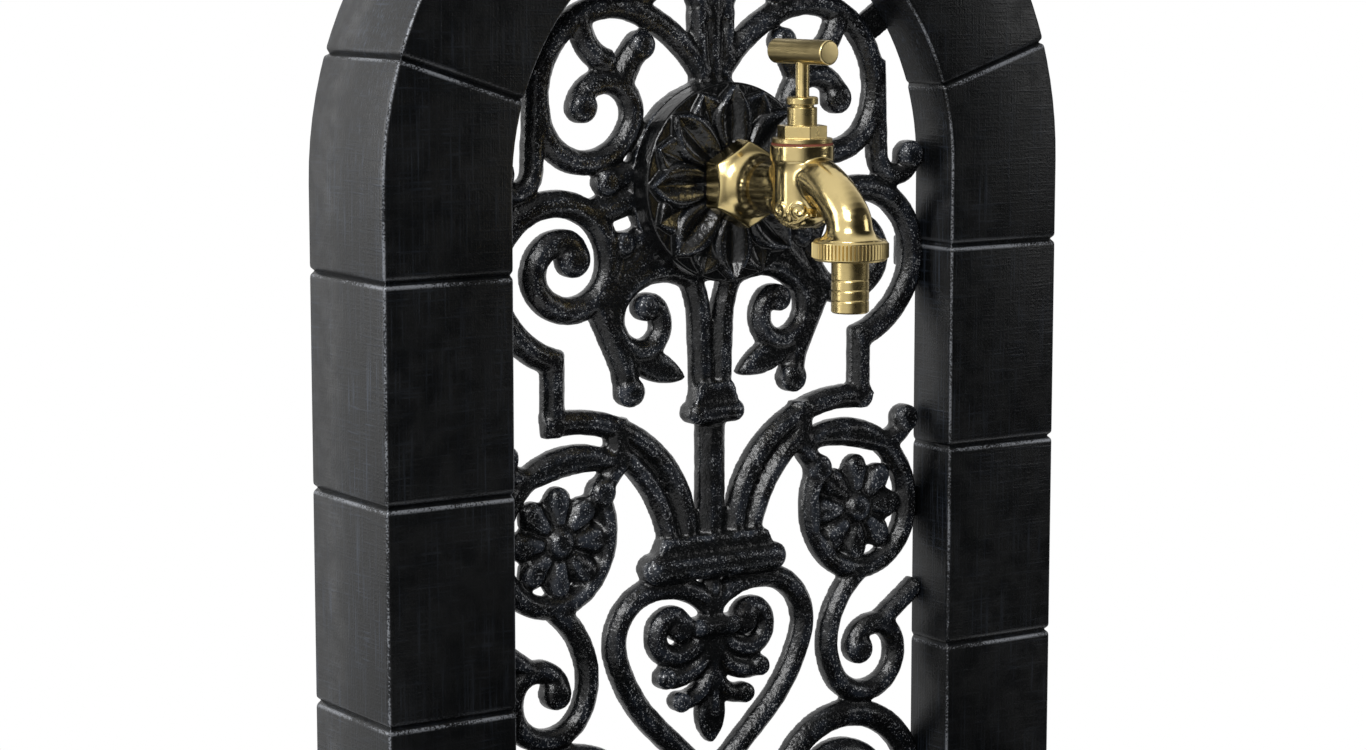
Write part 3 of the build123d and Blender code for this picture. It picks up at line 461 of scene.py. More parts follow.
def write_mark(mesh: bpy.types.Mesh, name: str, values: Any, domain: str = "POINT") -> None:
    """Writes one number per vertex, or per face, as a named attribute."""
    mesh.attributes.new(name, "FLOAT", domain).data.foreach_set("value", values)


def mark_relief(mesh: bpy.types.Mesh, gain: float = 2.2, rounds: int = 3) -> None:
    """Marks an evenly meshed casting from 0 in hollows over 0.5 on flats to 1 on ridges."""
    bend = VertexMean(mesh).bending(mesh, rounds)
    write_mark(mesh, "ridge", np.clip(0.5 + gain * bend, 0, 1))


# Geometry trees


def geometry_tree(name: str, inputs: dict[str, str], output: str
                  ) -> tuple[bpy.types.NodeTree, bpy.types.Node]:
    """Starts a geometry tree.

    Args:
        name: Name of the tree.
        inputs: Kind of socket by the input's name.
        output: Name of its output.

    Returns:
        The tree and its group input node.
    """
    tree = bpy.data.node_groups.new(name, "GeometryNodeTree")
    for label, kind in inputs.items():
        tree.interface.new_socket(label, in_out="INPUT", socket_type=f"NodeSocket{kind}")
    tree.interface.new_socket(output, in_out="OUTPUT", socket_type="NodeSocketGeometry")
    return tree, add_node(tree, "NodeGroupInput")


def finish_tree(tree: bpy.types.NodeTree, shape: Any, finish: Any, output: str) -> None:
    """Ends a geometry tree: instances are made real, and the material is set.

    Args:
        tree: Geometry tree.
        shape: Node or socket with the geometry.
        finish: Socket with the material.
        output: Name of the tree's output.
    """
    real = add_node(tree, "GeometryNodeRealizeInstances", {"Geometry": shape})
    dressed = add_node(tree, "GeometryNodeSetMaterial", {"Geometry": real, "Material": finish})
    add_node(tree, "NodeGroupOutput", {output: dressed})


def tree_modifier(
    piece: bpy.types.Object, tree: bpy.types.NodeTree, values: dict[str, Any]
) -> None:
    """Puts a geometry tree on a piece with its inputs set by identifier.

    Args:
        piece: Object that the tree works on.
        tree: Geometry tree.
        values: Values by input name.
    """
    modifier = piece.modifiers.new(tree.name, "NODES")
    modifier.node_group = tree
    for item in tree.interface.items_tree:
        if item.in_out == "INPUT" and item.name in values:
            modifier[item.identifier] = values[item.name]


@dataclass
class CopiesTree:
    """Geometry tree that sets a copy of one shape on every point of a mesh."""

    tree: bpy.types.NodeTree = field(init=False)

    def __post_init__(self) -> None:
        """Builds the tree."""
        tree, given = geometry_tree("copies_on_points", {
            "Points": "Geometry", "Shape": "Object", "Finish": "Material"}, "Copies")
        self.tree = tree
        shape = add_node(tree, "GeometryNodeObjectInfo", {"Object": given.outputs["Shape"]})
        copies = add_node(tree, "GeometryNodeInstanceOnPoints", {
            "Points": given.outputs["Points"], "Instance": shape.outputs["Geometry"]})
        finish_tree(tree, copies, given.outputs["Finish"], "Copies")

    def place(self, name: str, points: Sequence[Vector], shape: bpy.types.Object,
              finish: bpy.types.Material) -> bpy.types.Object:
        """Sets copies of a shape on points.

        Args:
            name: Name of the new piece.
            points: Places of the copies.
            shape: Shape with its middle at the origin, which is removed.
            finish: Material of the copies.

        Returns:
            The copies as one plain piece.
        """
        mesh = bpy.data.meshes.new(name)
        mesh.from_pydata([tuple(point) for point in points], [], [])
        piece = new_object(name, mesh)
        tree_modifier(piece, self.tree, {"Shape": shape, "Finish": finish})
        plain(piece)
        bpy.data.objects.remove(shape)
        return piece


@dataclass
class RingTree:
    """Geometry tree that sets copies of one shape round a level ring, each turned outwards."""

    tree: bpy.types.NodeTree = field(init=False)

    def __post_init__(self) -> None:
        """Builds the tree."""
        tree, given = geometry_tree("ring_of_copies", {
            "Body": "Geometry", "Shape": "Object", "Count": "Int", "Radius": "Float",
            "Centre": "Vector", "Finish": "Material"}, "Ring")
        self.tree = tree
        circle = add_node(tree, "GeometryNodeMeshCircle", {
            "Vertices": given.outputs["Count"], "Radius": given.outputs["Radius"]})
        number = add_node(tree, "GeometryNodeInputIndex")
        step = add_node(tree, "ShaderNodeMath", {0: math.tau, 1: given.outputs["Count"]},
                        operation="DIVIDE")
        angle = add_node(tree, "ShaderNodeMath", {0: number, 1: step}, operation="MULTIPLY")
        turn = add_node(tree, "ShaderNodeCombineXYZ", {"Z": angle})
        rotation = add_node(tree, "FunctionNodeEulerToRotation", {0: turn})
        shape = add_node(tree, "GeometryNodeObjectInfo", {"Object": given.outputs["Shape"]})
        copies = add_node(tree, "GeometryNodeInstanceOnPoints", {
            "Points": circle, "Instance": shape.outputs["Geometry"], "Rotation": rotation})
        moved = add_node(tree, "GeometryNodeTransform", {
            "Geometry": copies, "Translation": given.outputs["Centre"]})
        both = add_node(tree, "GeometryNodeJoinGeometry", {"Geometry": moved})
        set_inputs(tree, both, {"Geometry": given.outputs["Body"]})
        finish_tree(tree, both, given.outputs["Finish"], "Ring")


@dataclass
class LumpsTree:
    """Geometry tree that gives a casting the low lumps that sand moulding leaves."""

    tree: bpy.types.NodeTree = field(init=False)

    def __post_init__(self) -> None:
        """Builds the tree."""
        tree, given = geometry_tree("cast_lumps", {
            "Casting": "Geometry", "Lump size": "Float", "Lump height": "Float",
            "Seed": "Float", "Finish": "Material"}, "Casting")
        self.tree = tree
        place = add_node(tree, "GeometryNodeInputPosition")
        scale = add_node(tree, "ShaderNodeMath", {0: 1.0, 1: given.outputs["Lump size"]},
                         operation="DIVIDE")
        lumps = add_node(tree, "ShaderNodeTexNoise", {
            "Vector": place, "Scale": scale, "W": given.outputs["Seed"], "Detail": 2.0},
            noise_dimensions="4D")
        middle = add_node(tree, "ShaderNodeMath", {0: lumps.outputs["Fac"], 1: 0.5},
                          operation="SUBTRACT")
        height = add_node(tree, "ShaderNodeMath", {0: middle, 1: given.outputs["Lump height"]},
                          operation="MULTIPLY")
        normal = add_node(tree, "GeometryNodeInputNormal")
        offset = add_node(tree, "ShaderNodeVectorMath", {0: normal, "Scale": height},
                          operation="SCALE")
        moved = add_node(tree, "GeometryNodeSetPosition", {
            "Geometry": given.outputs["Casting"], "Offset": offset})
        finish_tree(tree, moved, given.outputs["Finish"], "Casting")

    def roughen(self, piece: bpy.types.Object, size: float, height: float, seed: float,
                finish: bpy.types.Material) -> None:
        """Gives a finely meshed casting its lumps.

        Args:
            piece: Casting, which keeps its name.
            size: Distance between lumps in metres.
            height: Height of the lumps in metres.
            seed: Fixed place in the noise.
            finish: Material of the casting.
        """
        tree_modifier(piece, self.tree, {
            "Lump size": size, "Lump height": height, "Seed": seed, "Finish": finish})
        plain(piece)


# Finishes


def new_finish(name: str) -> tuple[bpy.types.Material, bpy.types.NodeTree, bpy.types.Node]:
    """Starts a material with only its surface shader.

    Args:
        name: Name of the finish.

    Returns:
        The material, its tree and its surface shader.
    """
    material = bpy.data.materials.new(name)
    tree = cleared_tree(material)
    surface = add_node(tree, "ShaderNodeBsdfPrincipled")
    add_node(tree, "ShaderNodeOutputMaterial", {"Surface": surface})
    return material, tree, surface


def object_place(tree: bpy.types.NodeTree, stretch: tuple[float, float, float] = (1, 1, 1)
                 ) -> bpy.types.Node:
    """Adds object coordinates, scaled along each axis.

    Args:
        tree: Tree of the material.
        stretch: Scale along X, Y and Z.

    Returns:
        The Mapping node.
    """
    place = add_node(tree, "ShaderNodeTexCoord")
    return add_node(tree, "ShaderNodeMapping", {"Vector": place.outputs["Object"],
                                                "Scale": stretch})


def noise(tree: bpy.types.NodeTree, size: float, detail: float = 2.0,
          stretch: tuple[float, float, float] = (1, 1, 1)) -> bpy.types.NodeSocket:
    """Adds a noise whose grains have a real size.

    Args:
        tree: Tree of the material.
        size: Distance between grains in metres.
        detail: Octaves of finer grain.
        stretch: Scale along X, Y and Z.

    Returns:
        The noise's value.
    """
    grains = add_node(tree, "ShaderNodeTexNoise", {
        "Vector": object_place(tree, stretch), "Scale": 1 / size, "Detail": detail})
    return grains.outputs["Fac"]


def ramp(tree: bpy.types.NodeTree, value: Any, start: float, end: float,
         low: float = 0.0, high: float = 1.0) -> bpy.types.Node:
    """Adds a smooth, clamped change, from low where the value is start to high at end."""
    return add_node(tree, "ShaderNodeMapRange", {
        0: value, 1: start, 2: end, 3: low, 4: high}, interpolation_type="SMOOTHSTEP")


def combine(tree: bpy.types.NodeTree, operation: str, *values: Any) -> bpy.types.Node:
    """Adds one Math node over two or three values or sockets."""
    return add_node(tree, "ShaderNodeMath", dict(enumerate(values)), operation=operation)


def blend_colours(tree: bpy.types.NodeTree, share: Any, first: Any, second: Any
                  ) -> bpy.types.NodeSocket:
    """Adds a mix of two colours, or their sockets, with a share of the second one."""
    mix = add_node(tree, "ShaderNodeMix", {0: share, 6: first, 7: second}, data_type="RGBA")
    return mix.outputs[2]


def bumps(tree: bpy.types.NodeTree, height: Any, distance: float,
          under: bpy.types.Node | None = None) -> bpy.types.Node:
    """Adds a bump of a real height.

    Args:
        tree: Tree of the material.
        height: Socket with the height from 0 to 1.
        distance: Height in metres of a full step.
        under: Bump node that this one lies on.

    Returns:
        The Bump node.
    """
    inputs: dict[str | int, Any] = {"Height": height, "Distance": distance, "Strength": 1.0}
    if under:
        inputs["Normal"] = under
    return add_node(tree, "ShaderNodeBump", inputs)


@dataclass(frozen=True)
class BlockIron:
    """Cast iron blocks under satin black paint, dry-brushed with blue-grey and silver.

    The eye gets a near black satin skin, fine crossed brush strokes that run mostly along
    the blocks, shown more on sideways faces as painted side light, and thin broken silver on
    their upper edges, stronger on the lip that faces up as painted light from above. The
    brush's bristles and the sand's grain are about 0.3 mm and are drawn coarser, so that
    they show.
    """

    paint: str = "#050607"
    stroke: str = "#4b5565"
    silver: str = "#8d9096"
    roughness: float = 0.36
    stroke_width: float = 1.0 * MM
    stroke_height: float = 0.16 * MM
    band_width: float = 6 * MM
    speckle: float = 0.8 * MM
    patch: float = 34 * MM
    skin: float = 1.2 * MM
    skin_height: float = 0.09 * MM
    worn: float = 9 * MM
    # Share of the strokes that shows on surfaces that face forwards, and sideways; the larger share
    # on sideways faces is painted side light
    front_cover: float = 0.12
    side_cover_painted_light: float = 0.42
    shine: float = 0.4
    # Distances from a joint's middle between which its silver comes, and then goes
    joint_silver: tuple[float, float, float, float] = (0.9 * MM, 1.5 * MM, 1.7 * MM, 3.1 * MM)
    # Distances from a long edge between which its silver goes
    lip_silver: tuple[float, float] = (0.05 * MM, 0.6 * MM)

    def make(self) -> bpy.types.Material:
        """Builds the material, which reads the marks joint and lip in metres, and under.

        Returns:
            The material.
        """
        material, tree, surface = new_finish("cast_iron_black_paint_dry_brushed")
        joint, lip, under = (
            add_node(tree, "ShaderNodeAttribute", attribute_name=mark).outputs["Fac"]
            for mark in ("joint", "lip", "under"))
        speckle = noise(tree, self.speckle, 3.0)
        patch = noise(tree, self.patch)
        upright = noise(tree, self.stroke_width, 3.0, (1, 1, 0.03))
        level = noise(tree, self.stroke_width, 2.0, (0.05, 0.05, 1))
        bands = noise(tree, self.band_width, 2.0, (1, 1, 0.07))
        strokes = combine(tree, "MAXIMUM", ramp(tree, upright, 0.48, 0.74),
                          ramp(tree, level, 0.5, 0.78, 0.0, 0.7))
        strokes = combine(tree, "MULTIPLY", strokes, ramp(tree, bands, 0.36, 0.62, 0.25, 1.0))
        strokes = combine(tree, "MULTIPLY", strokes, ramp(tree, patch, 0.36, 0.62, 0.3, 1.0))
        joint_silver_with_top_light = combine(tree, "MULTIPLY", ramp(tree, joint, *self.joint_silver[:2]),
                           ramp(tree, joint, *self.joint_silver[2:], 1.0, 0.0))
        # The lip that faces up, on the lower block, gets far more silver than the underside above
        # it: painted light from above, laid on the real dry-brushed silver
        joint_silver_with_top_light = combine(tree, "MULTIPLY", joint_silver_with_top_light, ramp(tree, under, 0.3, 0.7, 0.75, 0.1))
        by_lip = ramp(tree, lip, *self.lip_silver, 0.7, 0.0)
        edges = combine(tree, "MAXIMUM", joint_silver_with_top_light, by_lip)
        broken = combine(tree, "MULTIPLY_ADD", patch, 0.9, speckle)
        brushed = combine(tree, "MULTIPLY", edges, ramp(tree, broken, 0.84, 1.06))
        # Faces turned sideways get more stroke colour than front faces: painted side light laid
        # over the real brush strokes
        faced = add_node(tree, "ShaderNodeTexCoord")
        faced = add_node(tree, "ShaderNodeSeparateXYZ", {0: faced.outputs["Normal"]})
        sideways = combine(tree, "ABSOLUTE", faced.outputs["X"])
        stroke_cover_with_painted_side_light = ramp(tree, sideways, 0.3, 0.9, self.front_cover, self.side_cover_painted_light)
        colour = blend_colours(tree, combine(tree, "MULTIPLY", strokes, stroke_cover_with_painted_side_light),
                               linear(self.paint), linear(self.stroke))
        colour = blend_colours(tree, brushed, colour, linear(self.silver))
        rough = ramp(tree, noise(tree, self.worn), 0.3, 0.7, self.roughness - 0.05,
                     self.roughness + 0.08)
        skin = bumps(tree, noise(tree, self.skin), self.skin_height)
        brush = bumps(tree, combine(tree, "MAXIMUM", upright, level), self.stroke_height, skin)
        set_inputs(tree, surface, {
            "Base Color": colour, "Metallic": combine(tree, "MULTIPLY", brushed, 0.5),
            "Roughness": rough, "Specular IOR Level": self.shine, "Normal": brush})
        return material


@dataclass(frozen=True)
class ScrollIron:
    """Rough cast iron under gloss black paint, its ridges dry-brushed with silver.

    The eye gets small wet-looking glints on a grainy skin, a thin blue-grey film and fine
    silver points along the crests. The sand's grain is about 0.3 mm and is drawn coarser, so
    that it shows.
    """

    paint: str = "#08090a"
    film: str = "#465061"
    silver: str = "#c3c5c8"
    roughness: float = 0.24
    speckle: float = 0.75 * MM
    patch: float = 12 * MM
    skin: float = 1.25 * MM
    skin_height: float = 0.27 * MM
    lump: float = 4 * MM
    lump_height: float = 0.35 * MM
    # Y at which the silver of the crests starts, and at which it is full
    crest: tuple[float, float] = (91.0 * MM, 87.5 * MM)

    def make(self, name: str) -> bpy.types.Material:
        """Builds the material, which reads the mark ridge.

        Args:
            name: Name of the material.

        Returns:
            The material.
        """
        material, tree, surface = new_finish(name)
        ridge = add_node(tree, "ShaderNodeAttribute", attribute_name="ridge").outputs["Fac"]
        place = add_node(tree, "ShaderNodeTexCoord")
        depth = add_node(tree, "ShaderNodeSeparateXYZ", {0: place.outputs["Object"]})
        crest = ramp(tree, depth.outputs["Y"], *self.crest)
        speckle = noise(tree, self.speckle)
        patch = noise(tree, self.patch)
        grains = noise(tree, self.skin, 2.5)
        raised = combine(tree, "MULTIPLY", ramp(tree, ridge, 0.5, 0.72), crest)
        film = combine(tree, "MULTIPLY", raised, ramp(tree, patch, 0.38, 0.62, 0.0, 0.24))
        points = combine(tree, "MULTIPLY", ramp(tree, speckle, 0.6, 0.67),
                         ramp(tree, patch, 0.34, 0.6, 0.3, 1.0))
        points = combine(tree, "MULTIPLY", points, ramp(tree, raised, 0.0, 0.8, 0.05, 1.0))
        colour = blend_colours(tree, film, linear(self.paint), linear(self.film))
        colour = blend_colours(tree, points, colour, linear(self.silver))
        swell = bumps(tree, noise(tree, self.lump, 1.0), self.lump_height)
        set_inputs(tree, surface, {
            "Base Color": colour, "Metallic": combine(tree, "MULTIPLY", points, 0.6),
            "Roughness": ramp(tree, film, 0.0, 0.3, self.roughness, self.roughness + 0.12),
            "Normal": bumps(tree, grains, self.skin_height, swell)})
        return material


class BrassWork(Enum):
    """How a brass surface was made."""

    POLISHED = "polished"
    TURNED_UPRIGHT = "turned_upright"
    TURNED_ACROSS = "turned_across"
    MACHINED = "machined"
    KNURLED = "knurled"


@dataclass(frozen=True)
class Brass:
    """Yellow brass, polished after casting or cut on a lathe.

    Polished, it mirrors its surroundings warmly and is darker in its hollows. Turned, it
    spreads them along fine tool lines. A tool's feed is about 0.1 mm a turn and is drawn
    coarser, so that it shows.
    """

    work: BrassWork
    metal: str = "#d4bf87"
    film: str = "#5c4a20"
    roughness: float = 0.15
    cloud: float = 7 * MM
    smear: float = 3 * MM
    wave: float = 4.5 * MM
    wave_height: float = 0.05 * MM
    line: float = 0.45 * MM
    line_height: float = 0.02 * MM

    def make(self) -> bpy.types.Material:
        """Builds the material; the polished one reads the mark ridge.

        Returns:
            The material.
        """
        material, tree, surface = new_finish(f"brass_{self.work.value}")
        cloud = noise(tree, self.cloud, 3.0)
        colour = blend_colours(tree, ramp(tree, cloud, 0.45, 0.8, 0.0, 0.18),
                               linear(self.metal), linear(self.film))
        spread = 0.06
        if self.work is BrassWork.POLISHED:
            ridge = add_node(tree, "ShaderNodeAttribute", attribute_name="ridge").outputs["Fac"]
            # Darker towards the film colour where the ridge mark falls into hollows
            hollow = ramp(tree, ridge, 0.44, 0.12, 0.0, 0.55)
            colour = blend_colours(tree, hollow, colour, linear(self.film))
            spread = 0.09
            skin = bumps(tree, noise(tree, self.wave), self.wave_height)
        else:
            across = self.work is BrassWork.TURNED_ACROSS
            stretch = (1, 0.02, 0.02) if across else (0.02, 0.02, 1)
            skin = bumps(tree, noise(tree, self.line, 1.0, stretch), self.line_height)
        rough = ramp(tree, noise(tree, self.smear, 3.0), 0.3, 0.75, self.roughness,
                     self.roughness + spread)
        set_inputs(tree, surface, {
            "Base Color": colour, "Metallic": 1.0, "Roughness": rough, "Normal": skin})
        return material


@dataclass(frozen=True)
class PlainFinish:
    """A small part's finish: one colour with a slight cloud and a fine skin."""

    name: str
    colour: str
    shade: str
    roughness: float
    metallic: float = 0.0
    cloud: float = 5 * MM
    grain: float = 0.6 * MM
    relief: float = 0.03 * MM

    def make(self) -> bpy.types.Material:
        """Builds the material.

        Returns:
            The material.
        """
        material, tree, surface = new_finish(self.name)
        cloud = ramp(tree, noise(tree, self.cloud, 3.0), 0.35, 0.7)
        set_inputs(tree, surface, {
            "Base Color": blend_colours(tree, cloud, linear(self.colour), linear(self.shade)),
            "Metallic": self.metallic, "Roughness": self.roughness,
            "Normal": bumps(tree, noise(tree, self.grain), self.relief)})
        return material


@dataclass(frozen=True)
class Finishes:
    """Every material of the fountain, made once."""

    blocks: bpy.types.Material
    scrolls: bpy.types.Material
    boss: bpy.types.Material
    polished: bpy.types.Material
    turned: bpy.types.Material
    turned_bar: bpy.types.Material
    machined: bpy.types.Material
    knurled: bpy.types.Material
    fibre: bpy.types.Material
    rubber: bpy.types.Material
    packing: bpy.types.Material
    zinc: bpy.types.Material


def make_finishes() -> Finishes:
    """Makes the fountain's materials.

    Returns:
        All of them, by name.
    """
    return Finishes(
        blocks=BlockIron().make(),
        scrolls=ScrollIron().make("cast_iron_gloss_black_paint_silvered"),
        boss=ScrollIron(roughness=0.2, skin_height=0.16 * MM, crest=(76.4 * MM, 72.6 * MM)).make(
            "cast_iron_gloss_black_rosette"),
        # Cast and buffed: a warm, slightly wavy mirror
        polished=Brass(BrassWork.POLISHED).make(),
        # Turned round an upright axis: pale, with a soft sheen along level lines
        turned=Brass(BrassWork.TURNED_UPRIGHT, metal="#cdb880", roughness=0.26).make(),
        # Turned bar that lies across: the same sheen, round the bar
        turned_bar=Brass(BrassWork.TURNED_ACROSS, metal="#d6c28c", roughness=0.28).make(),
        # Cut and left: duller and darker
        machined=Brass(BrassWork.MACHINED, metal="#b8a26c", roughness=0.34).make(),
        # Rolled knurls: bright crests without clear reflections
        knurled=Brass(BrassWork.KNURLED, metal="#d3be86", roughness=0.3).make(),
        # Pressed red fibre: dry, matt, faintly mottled
        fibre=PlainFinish("vulcanised_fibre_red", "#7c3e2b", "#5f2e20", 0.7).make(),
        # Moulded rubber: dull black with a soft sheen
        rubber=PlainFinish("rubber_moulded_black", "#161616", "#202020", 0.6).make(),
        # Greased cord: off-white and fibrous
        packing=PlainFinish("packing_cord_greased", "#b9b09c", "#8f866f", 0.65,
                            relief=0.1 * MM).make(),
        # Zinc plate on steel: pale grey, slightly clouded metal
        zinc=PlainFinish("steel_zinc_plated", "#b9bcc0", "#999da3", 0.38, metallic=1.0).make(),
    )


# Putting pieces on the frame


def dress(piece: bpy.types.Object, body: str, slot: str, finish: bpy.types.Material,
          *nodes: str) -> None:
    """Gives a piece its finish, its body and the CAD nodes it stands for.

    Args:
        piece: Finished piece.
        body: Body that it rides on.
        slot: The record's material slot; not used.
        finish: Material.
        *nodes: CAD nodes that it replaces.
    """
    piece.data.materials.clear()
    piece.data.materials.append(finish)
    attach(piece, body)
    if nodes:
        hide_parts(*nodes)
    LOG.info("%s: %d faces on %s", piece.name, len(piece.data.polygons), body)


def dress_node(node: str, finish: bpy.types.Material) -> None:
    """Gives a CAD node, kept as it is, its finish.

    Args:
        node: CAD node.
        finish: Material.
    """
    piece = bpy.data.objects[node]
    for slot in piece.material_slots:
        slot.material = finish
    LOG.info("%s: CAD mesh kept", node)


def eased_node(node: str, body: str, slot: str, finish: bpy.types.Material, width: float
               ) -> None:
    """Replaces a CAD node by a copy whose edges are eased to this width in metres."""
    dress(eased(merged_copy(node, f"{node}_look"), width), body, slot, finish, node)


def middle_of(low: Vector, high: Vector) -> Vector:
    """Finds the middle of a box."""
    return (low + high) / 2


# Stand


@dataclass
class Station:
    """One cross-section along the arch."""

    # Turns a radius and a depth behind the front into a point
    place: Callable[[float, float], Vector]
    # Distance to the nearest joint
    joint: float
    # 1 on the underside of a block beside its joint, and 0 on the top
    under: float = 0.5


@dataclass
class Arch:
    """Hollow cast arch laid out like stone blocks, open at the back."""

    outer: float = 175 * MM
    inner: float = 114 * MM
    depth: float = 64 * MM
    reveal: float = 26.5 * MM
    wall: float = 5 * MM
    foot_plate: float = 6 * MM
    course: float = 91.2 * MM
    top_block: float = 36.2 * MM
    courses: int = 5
    head_joints: tuple[float, ...] = (162.0, 126.0, 90.0, 54.0, 18.0)
    head_pitch: float = 36.0
    groove_depth: float = 2.0 * MM
    reveal_groove: float = 1.0 * MM
    rounding: float = 2.0 * MM
    plate_gap: float = 0.2 * MM
    pad_radius: float = 6.5 * MM
    ear_inset: float = 14 * MM
    ear_angles: tuple[float, ...] = (35.0, 145.0)
    ear_drops: tuple[float, ...] = (40 * MM, 156 * MM, 330 * MM)
    ear_front: float = 26.8 * MM
    # Distance from a joint's middle line, and the share of the groove's depth there
    groove: tuple[tuple[float, float], ...] = (
        (0.0, 1.0), (0.45 * MM, 0.78), (1.0 * MM, 0.42), (1.5 * MM, 0.16), (2.1 * MM, 0.04),
        (3.0 * MM, 0.0))
    arc_step: float = 3.0

    def __post_init__(self) -> None:
        """Reads where the arch stands."""
        low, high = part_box("arch_surround")
        self.front = low.y
        self.foot = low.z
        self.springing = high.z - self.outer

    def section(self) -> list[tuple[float, float, float, float, float]]:
        """Lays out the cross-section.

        Returns:
            Points as radius, depth behind the front, the joint's push on each of them, and
            the distance to the nearest long edge.
        """
        r = self.rounding
        half = (self.outer - self.inner) / 2
        points: list[tuple[float, float, float, float, float]] = [
            (self.outer - 0.4 * r, self.depth, -1, 0, 0.5 * r),
            (self.outer, self.depth - 0.4 * r, -1, 0, 0.5 * r),
            (self.outer, self.depth / 2, -1, 0, self.depth / 2)]
        for step in range(5):
            turn = math.radians(ROUND_STEP * step)
            points.append((self.outer - r + r * math.cos(turn), r - r * math.sin(turn),
                           -math.cos(turn), math.sin(turn), r * abs(1 - step / 2) / 2))
        points.append((self.outer - half, 0, 0, 1, half))
        share = self.reveal_groove / self.groove_depth
        for step in range(5):
            turn = math.radians(90 - ROUND_STEP * step)
            points.append((self.inner + r - r * math.cos(turn), r - r * math.sin(turn),
                           share * math.cos(turn), math.sin(turn), r * abs(1 - step / 2) / 2))
        points += [(self.inner, self.reveal * step, share, 0, self.reveal / 2)
                   for step in (0.6, 1.0)]
        inside, outside = self.inner + self.wall, self.outer - self.wall
        points += [(radius, depth, 0, 0, self.depth) for radius, depth in (
            (inside, self.reveal), (inside, self.wall), (outside, self.wall),
            (outside, self.depth))]
        return points

    def leg_station(self, side: int, height: float, joint: float, under: float = 0.5) -> Station:
        """Makes a cross-section in the left leg (-1) or the right one (1), over the springing."""
        return Station(lambda radius, depth: Vector((
            side * radius, self.front + depth, self.springing + height)), joint, under)

    def head_station(self, angle: float, offset: float, joint: float,
                     under: float = 0.5) -> Station:
        """Makes a cross-section in the head.

        Args:
            angle: Angle in degrees, anticlockwise from the right springing.
            offset: Distance square to that radius, clockwise.
            joint: Distance to the nearest joint.
            under: 1 on the underside of a block beside its joint, 0 on the top.

        Returns:
            The station.
        """
        c, s = math.cos(math.radians(angle)), math.sin(math.radians(angle))
        return Station(lambda radius, depth: Vector((
            radius * c + offset * s, self.front + depth,
            self.springing + radius * s - offset * c)), joint, under)

    def stations(self) -> list[Station]:
        """Lays out the cross-sections from the left foot over the head to the right foot.

        Returns:
            The stations in that order.
        """
        offsets = [(-gap, gap, 0.0 if gap else 0.5) for gap, _ in reversed(self.groove)]
        offsets += [(gap, gap, 1.0) for gap, _ in self.groove[1:]]
        joints = [-(self.top_block + self.course * row) for row in range(self.courses)]
        foot = self.foot - self.springing

        def leg(side: int) -> list[Station]:
            """Lays out one leg from its foot up.

            Args:
                side: -1 for the left leg, 1 for the right one.

            Returns:
                Its stations.
            """
            found = [self.leg_station(side, foot, self.course)]
            for joint in reversed(joints):
                found += [self.leg_station(side, joint + offset, gap, under)
                          for offset, gap, under in offsets]
                found.append(self.leg_station(
                    side, min(joint + self.course / 2, 0.0), min(self.course / 2, -joint)))
            return found

        mean = (self.outer + self.inner) / 2
        head: list[Station] = []
        angle = 180.0
        for joint in self.head_joints:
            while angle - joint > self.arc_step:
                angle -= self.arc_step
                away = min(joint + self.head_pitch - angle, angle - joint)
                head.append(self.head_station(angle, 0.0, mean * math.radians(away)))
            head += [self.head_station(joint, offset, gap, under if joint > 90 else 1 - under)
                     for offset, gap, under in offsets]
            angle = joint
        while angle > self.arc_step:
            angle -= self.arc_step
            head.append(self.head_station(angle, 0.0, mean * math.radians(
                self.head_joints[-1] - angle)))
        return leg(-1) + head + leg(1)[::-1]

    def shell(self) -> bpy.types.Object:
        """Lofts the hollow casting along its stations.

        Returns:
            The casting, with the marks that its finish reads.
        """
        section = self.section()
        depths = dict(self.groove)
        rows, joint_marks, lip_marks, under_marks = [], [], [], []
        for station in self.stations():
            share = depths.get(station.joint, 0.0) * self.groove_depth
            rows.append([station.place(radius + share * inward, depth + share * back)
                         for radius, depth, inward, back, _ in section])
            joint_marks.append([station.joint if inward or back else self.depth
                                for _, _, inward, back, _ in section])
            lip_marks.append([lip for *_, lip in section])
            under_marks.append([station.under] * len(section))
        return grid_piece("arch_shell", rows, capped=True, marks={
            "joint": joint_marks, "lip": lip_marks, "under": under_marks})

    def fittings(self) -> list[bpy.types.Object]:
        """Makes the foot plates and the screw pads behind the front wall.

        Returns:
            The plates and pads.
        """
        made = []
        gap = self.plate_gap
        for side in (-1, 1):
            low = Vector((self.inner + gap, self.front + gap, self.foot))
            high = Vector((self.outer - gap, self.front + self.depth - gap,
                           self.foot + self.foot_plate))
            shape = bmesh.new()
            bmesh.ops.create_cube(shape, size=1.0)
            for corner in shape.verts:
                at = [low[i] + (corner.co[i] + 0.5) * (high[i] - low[i]) for i in range(3)]
                corner.co = Vector((side * at[0], at[1], at[2]))
            bmesh.ops.recalc_face_normals(shape, faces=shape.faces)
            mesh = bpy.data.meshes.new("foot_plate")
            shape.to_mesh(mesh)
            shape.free()
            made.append(new_object("foot_plate", mesh))
        radius = self.inner + self.ear_inset
        spots = [(radius * math.cos(math.radians(a)), radius * math.sin(math.radians(a)))
                 for a in self.ear_angles]
        spots += [(side * radius, -drop) for drop in self.ear_drops for side in (-1, 1)]
        start, end = self.wall * 0.8, self.ear_front
        for x, z in spots:
            centre = Vector((x, self.front, self.springing + z))
            profile = [(POLE, start), (self.pad_radius, start), (self.pad_radius, end),
                       (POLE, end)]
            made.append(turned("pad", centre, profile, "Y", 32))
        return made

    def build(self, finishes: Finishes) -> None:
        """Builds the arch.

        Args:
            finishes: The fountain's finishes.
        """
        shell = self.shell()
        smooth_by_angle(shell.data, 50)
        pieces = self.fittings()
        for piece in pieces:
            for mark in ("joint", "lip", "under"):
                write_mark(piece.data, mark, [self.depth] * len(piece.data.vertices))
        arch = joined("arch", [shell, *pieces])
        dress(arch, "stand", "black_iron", finishes.blocks, "arch_surround")


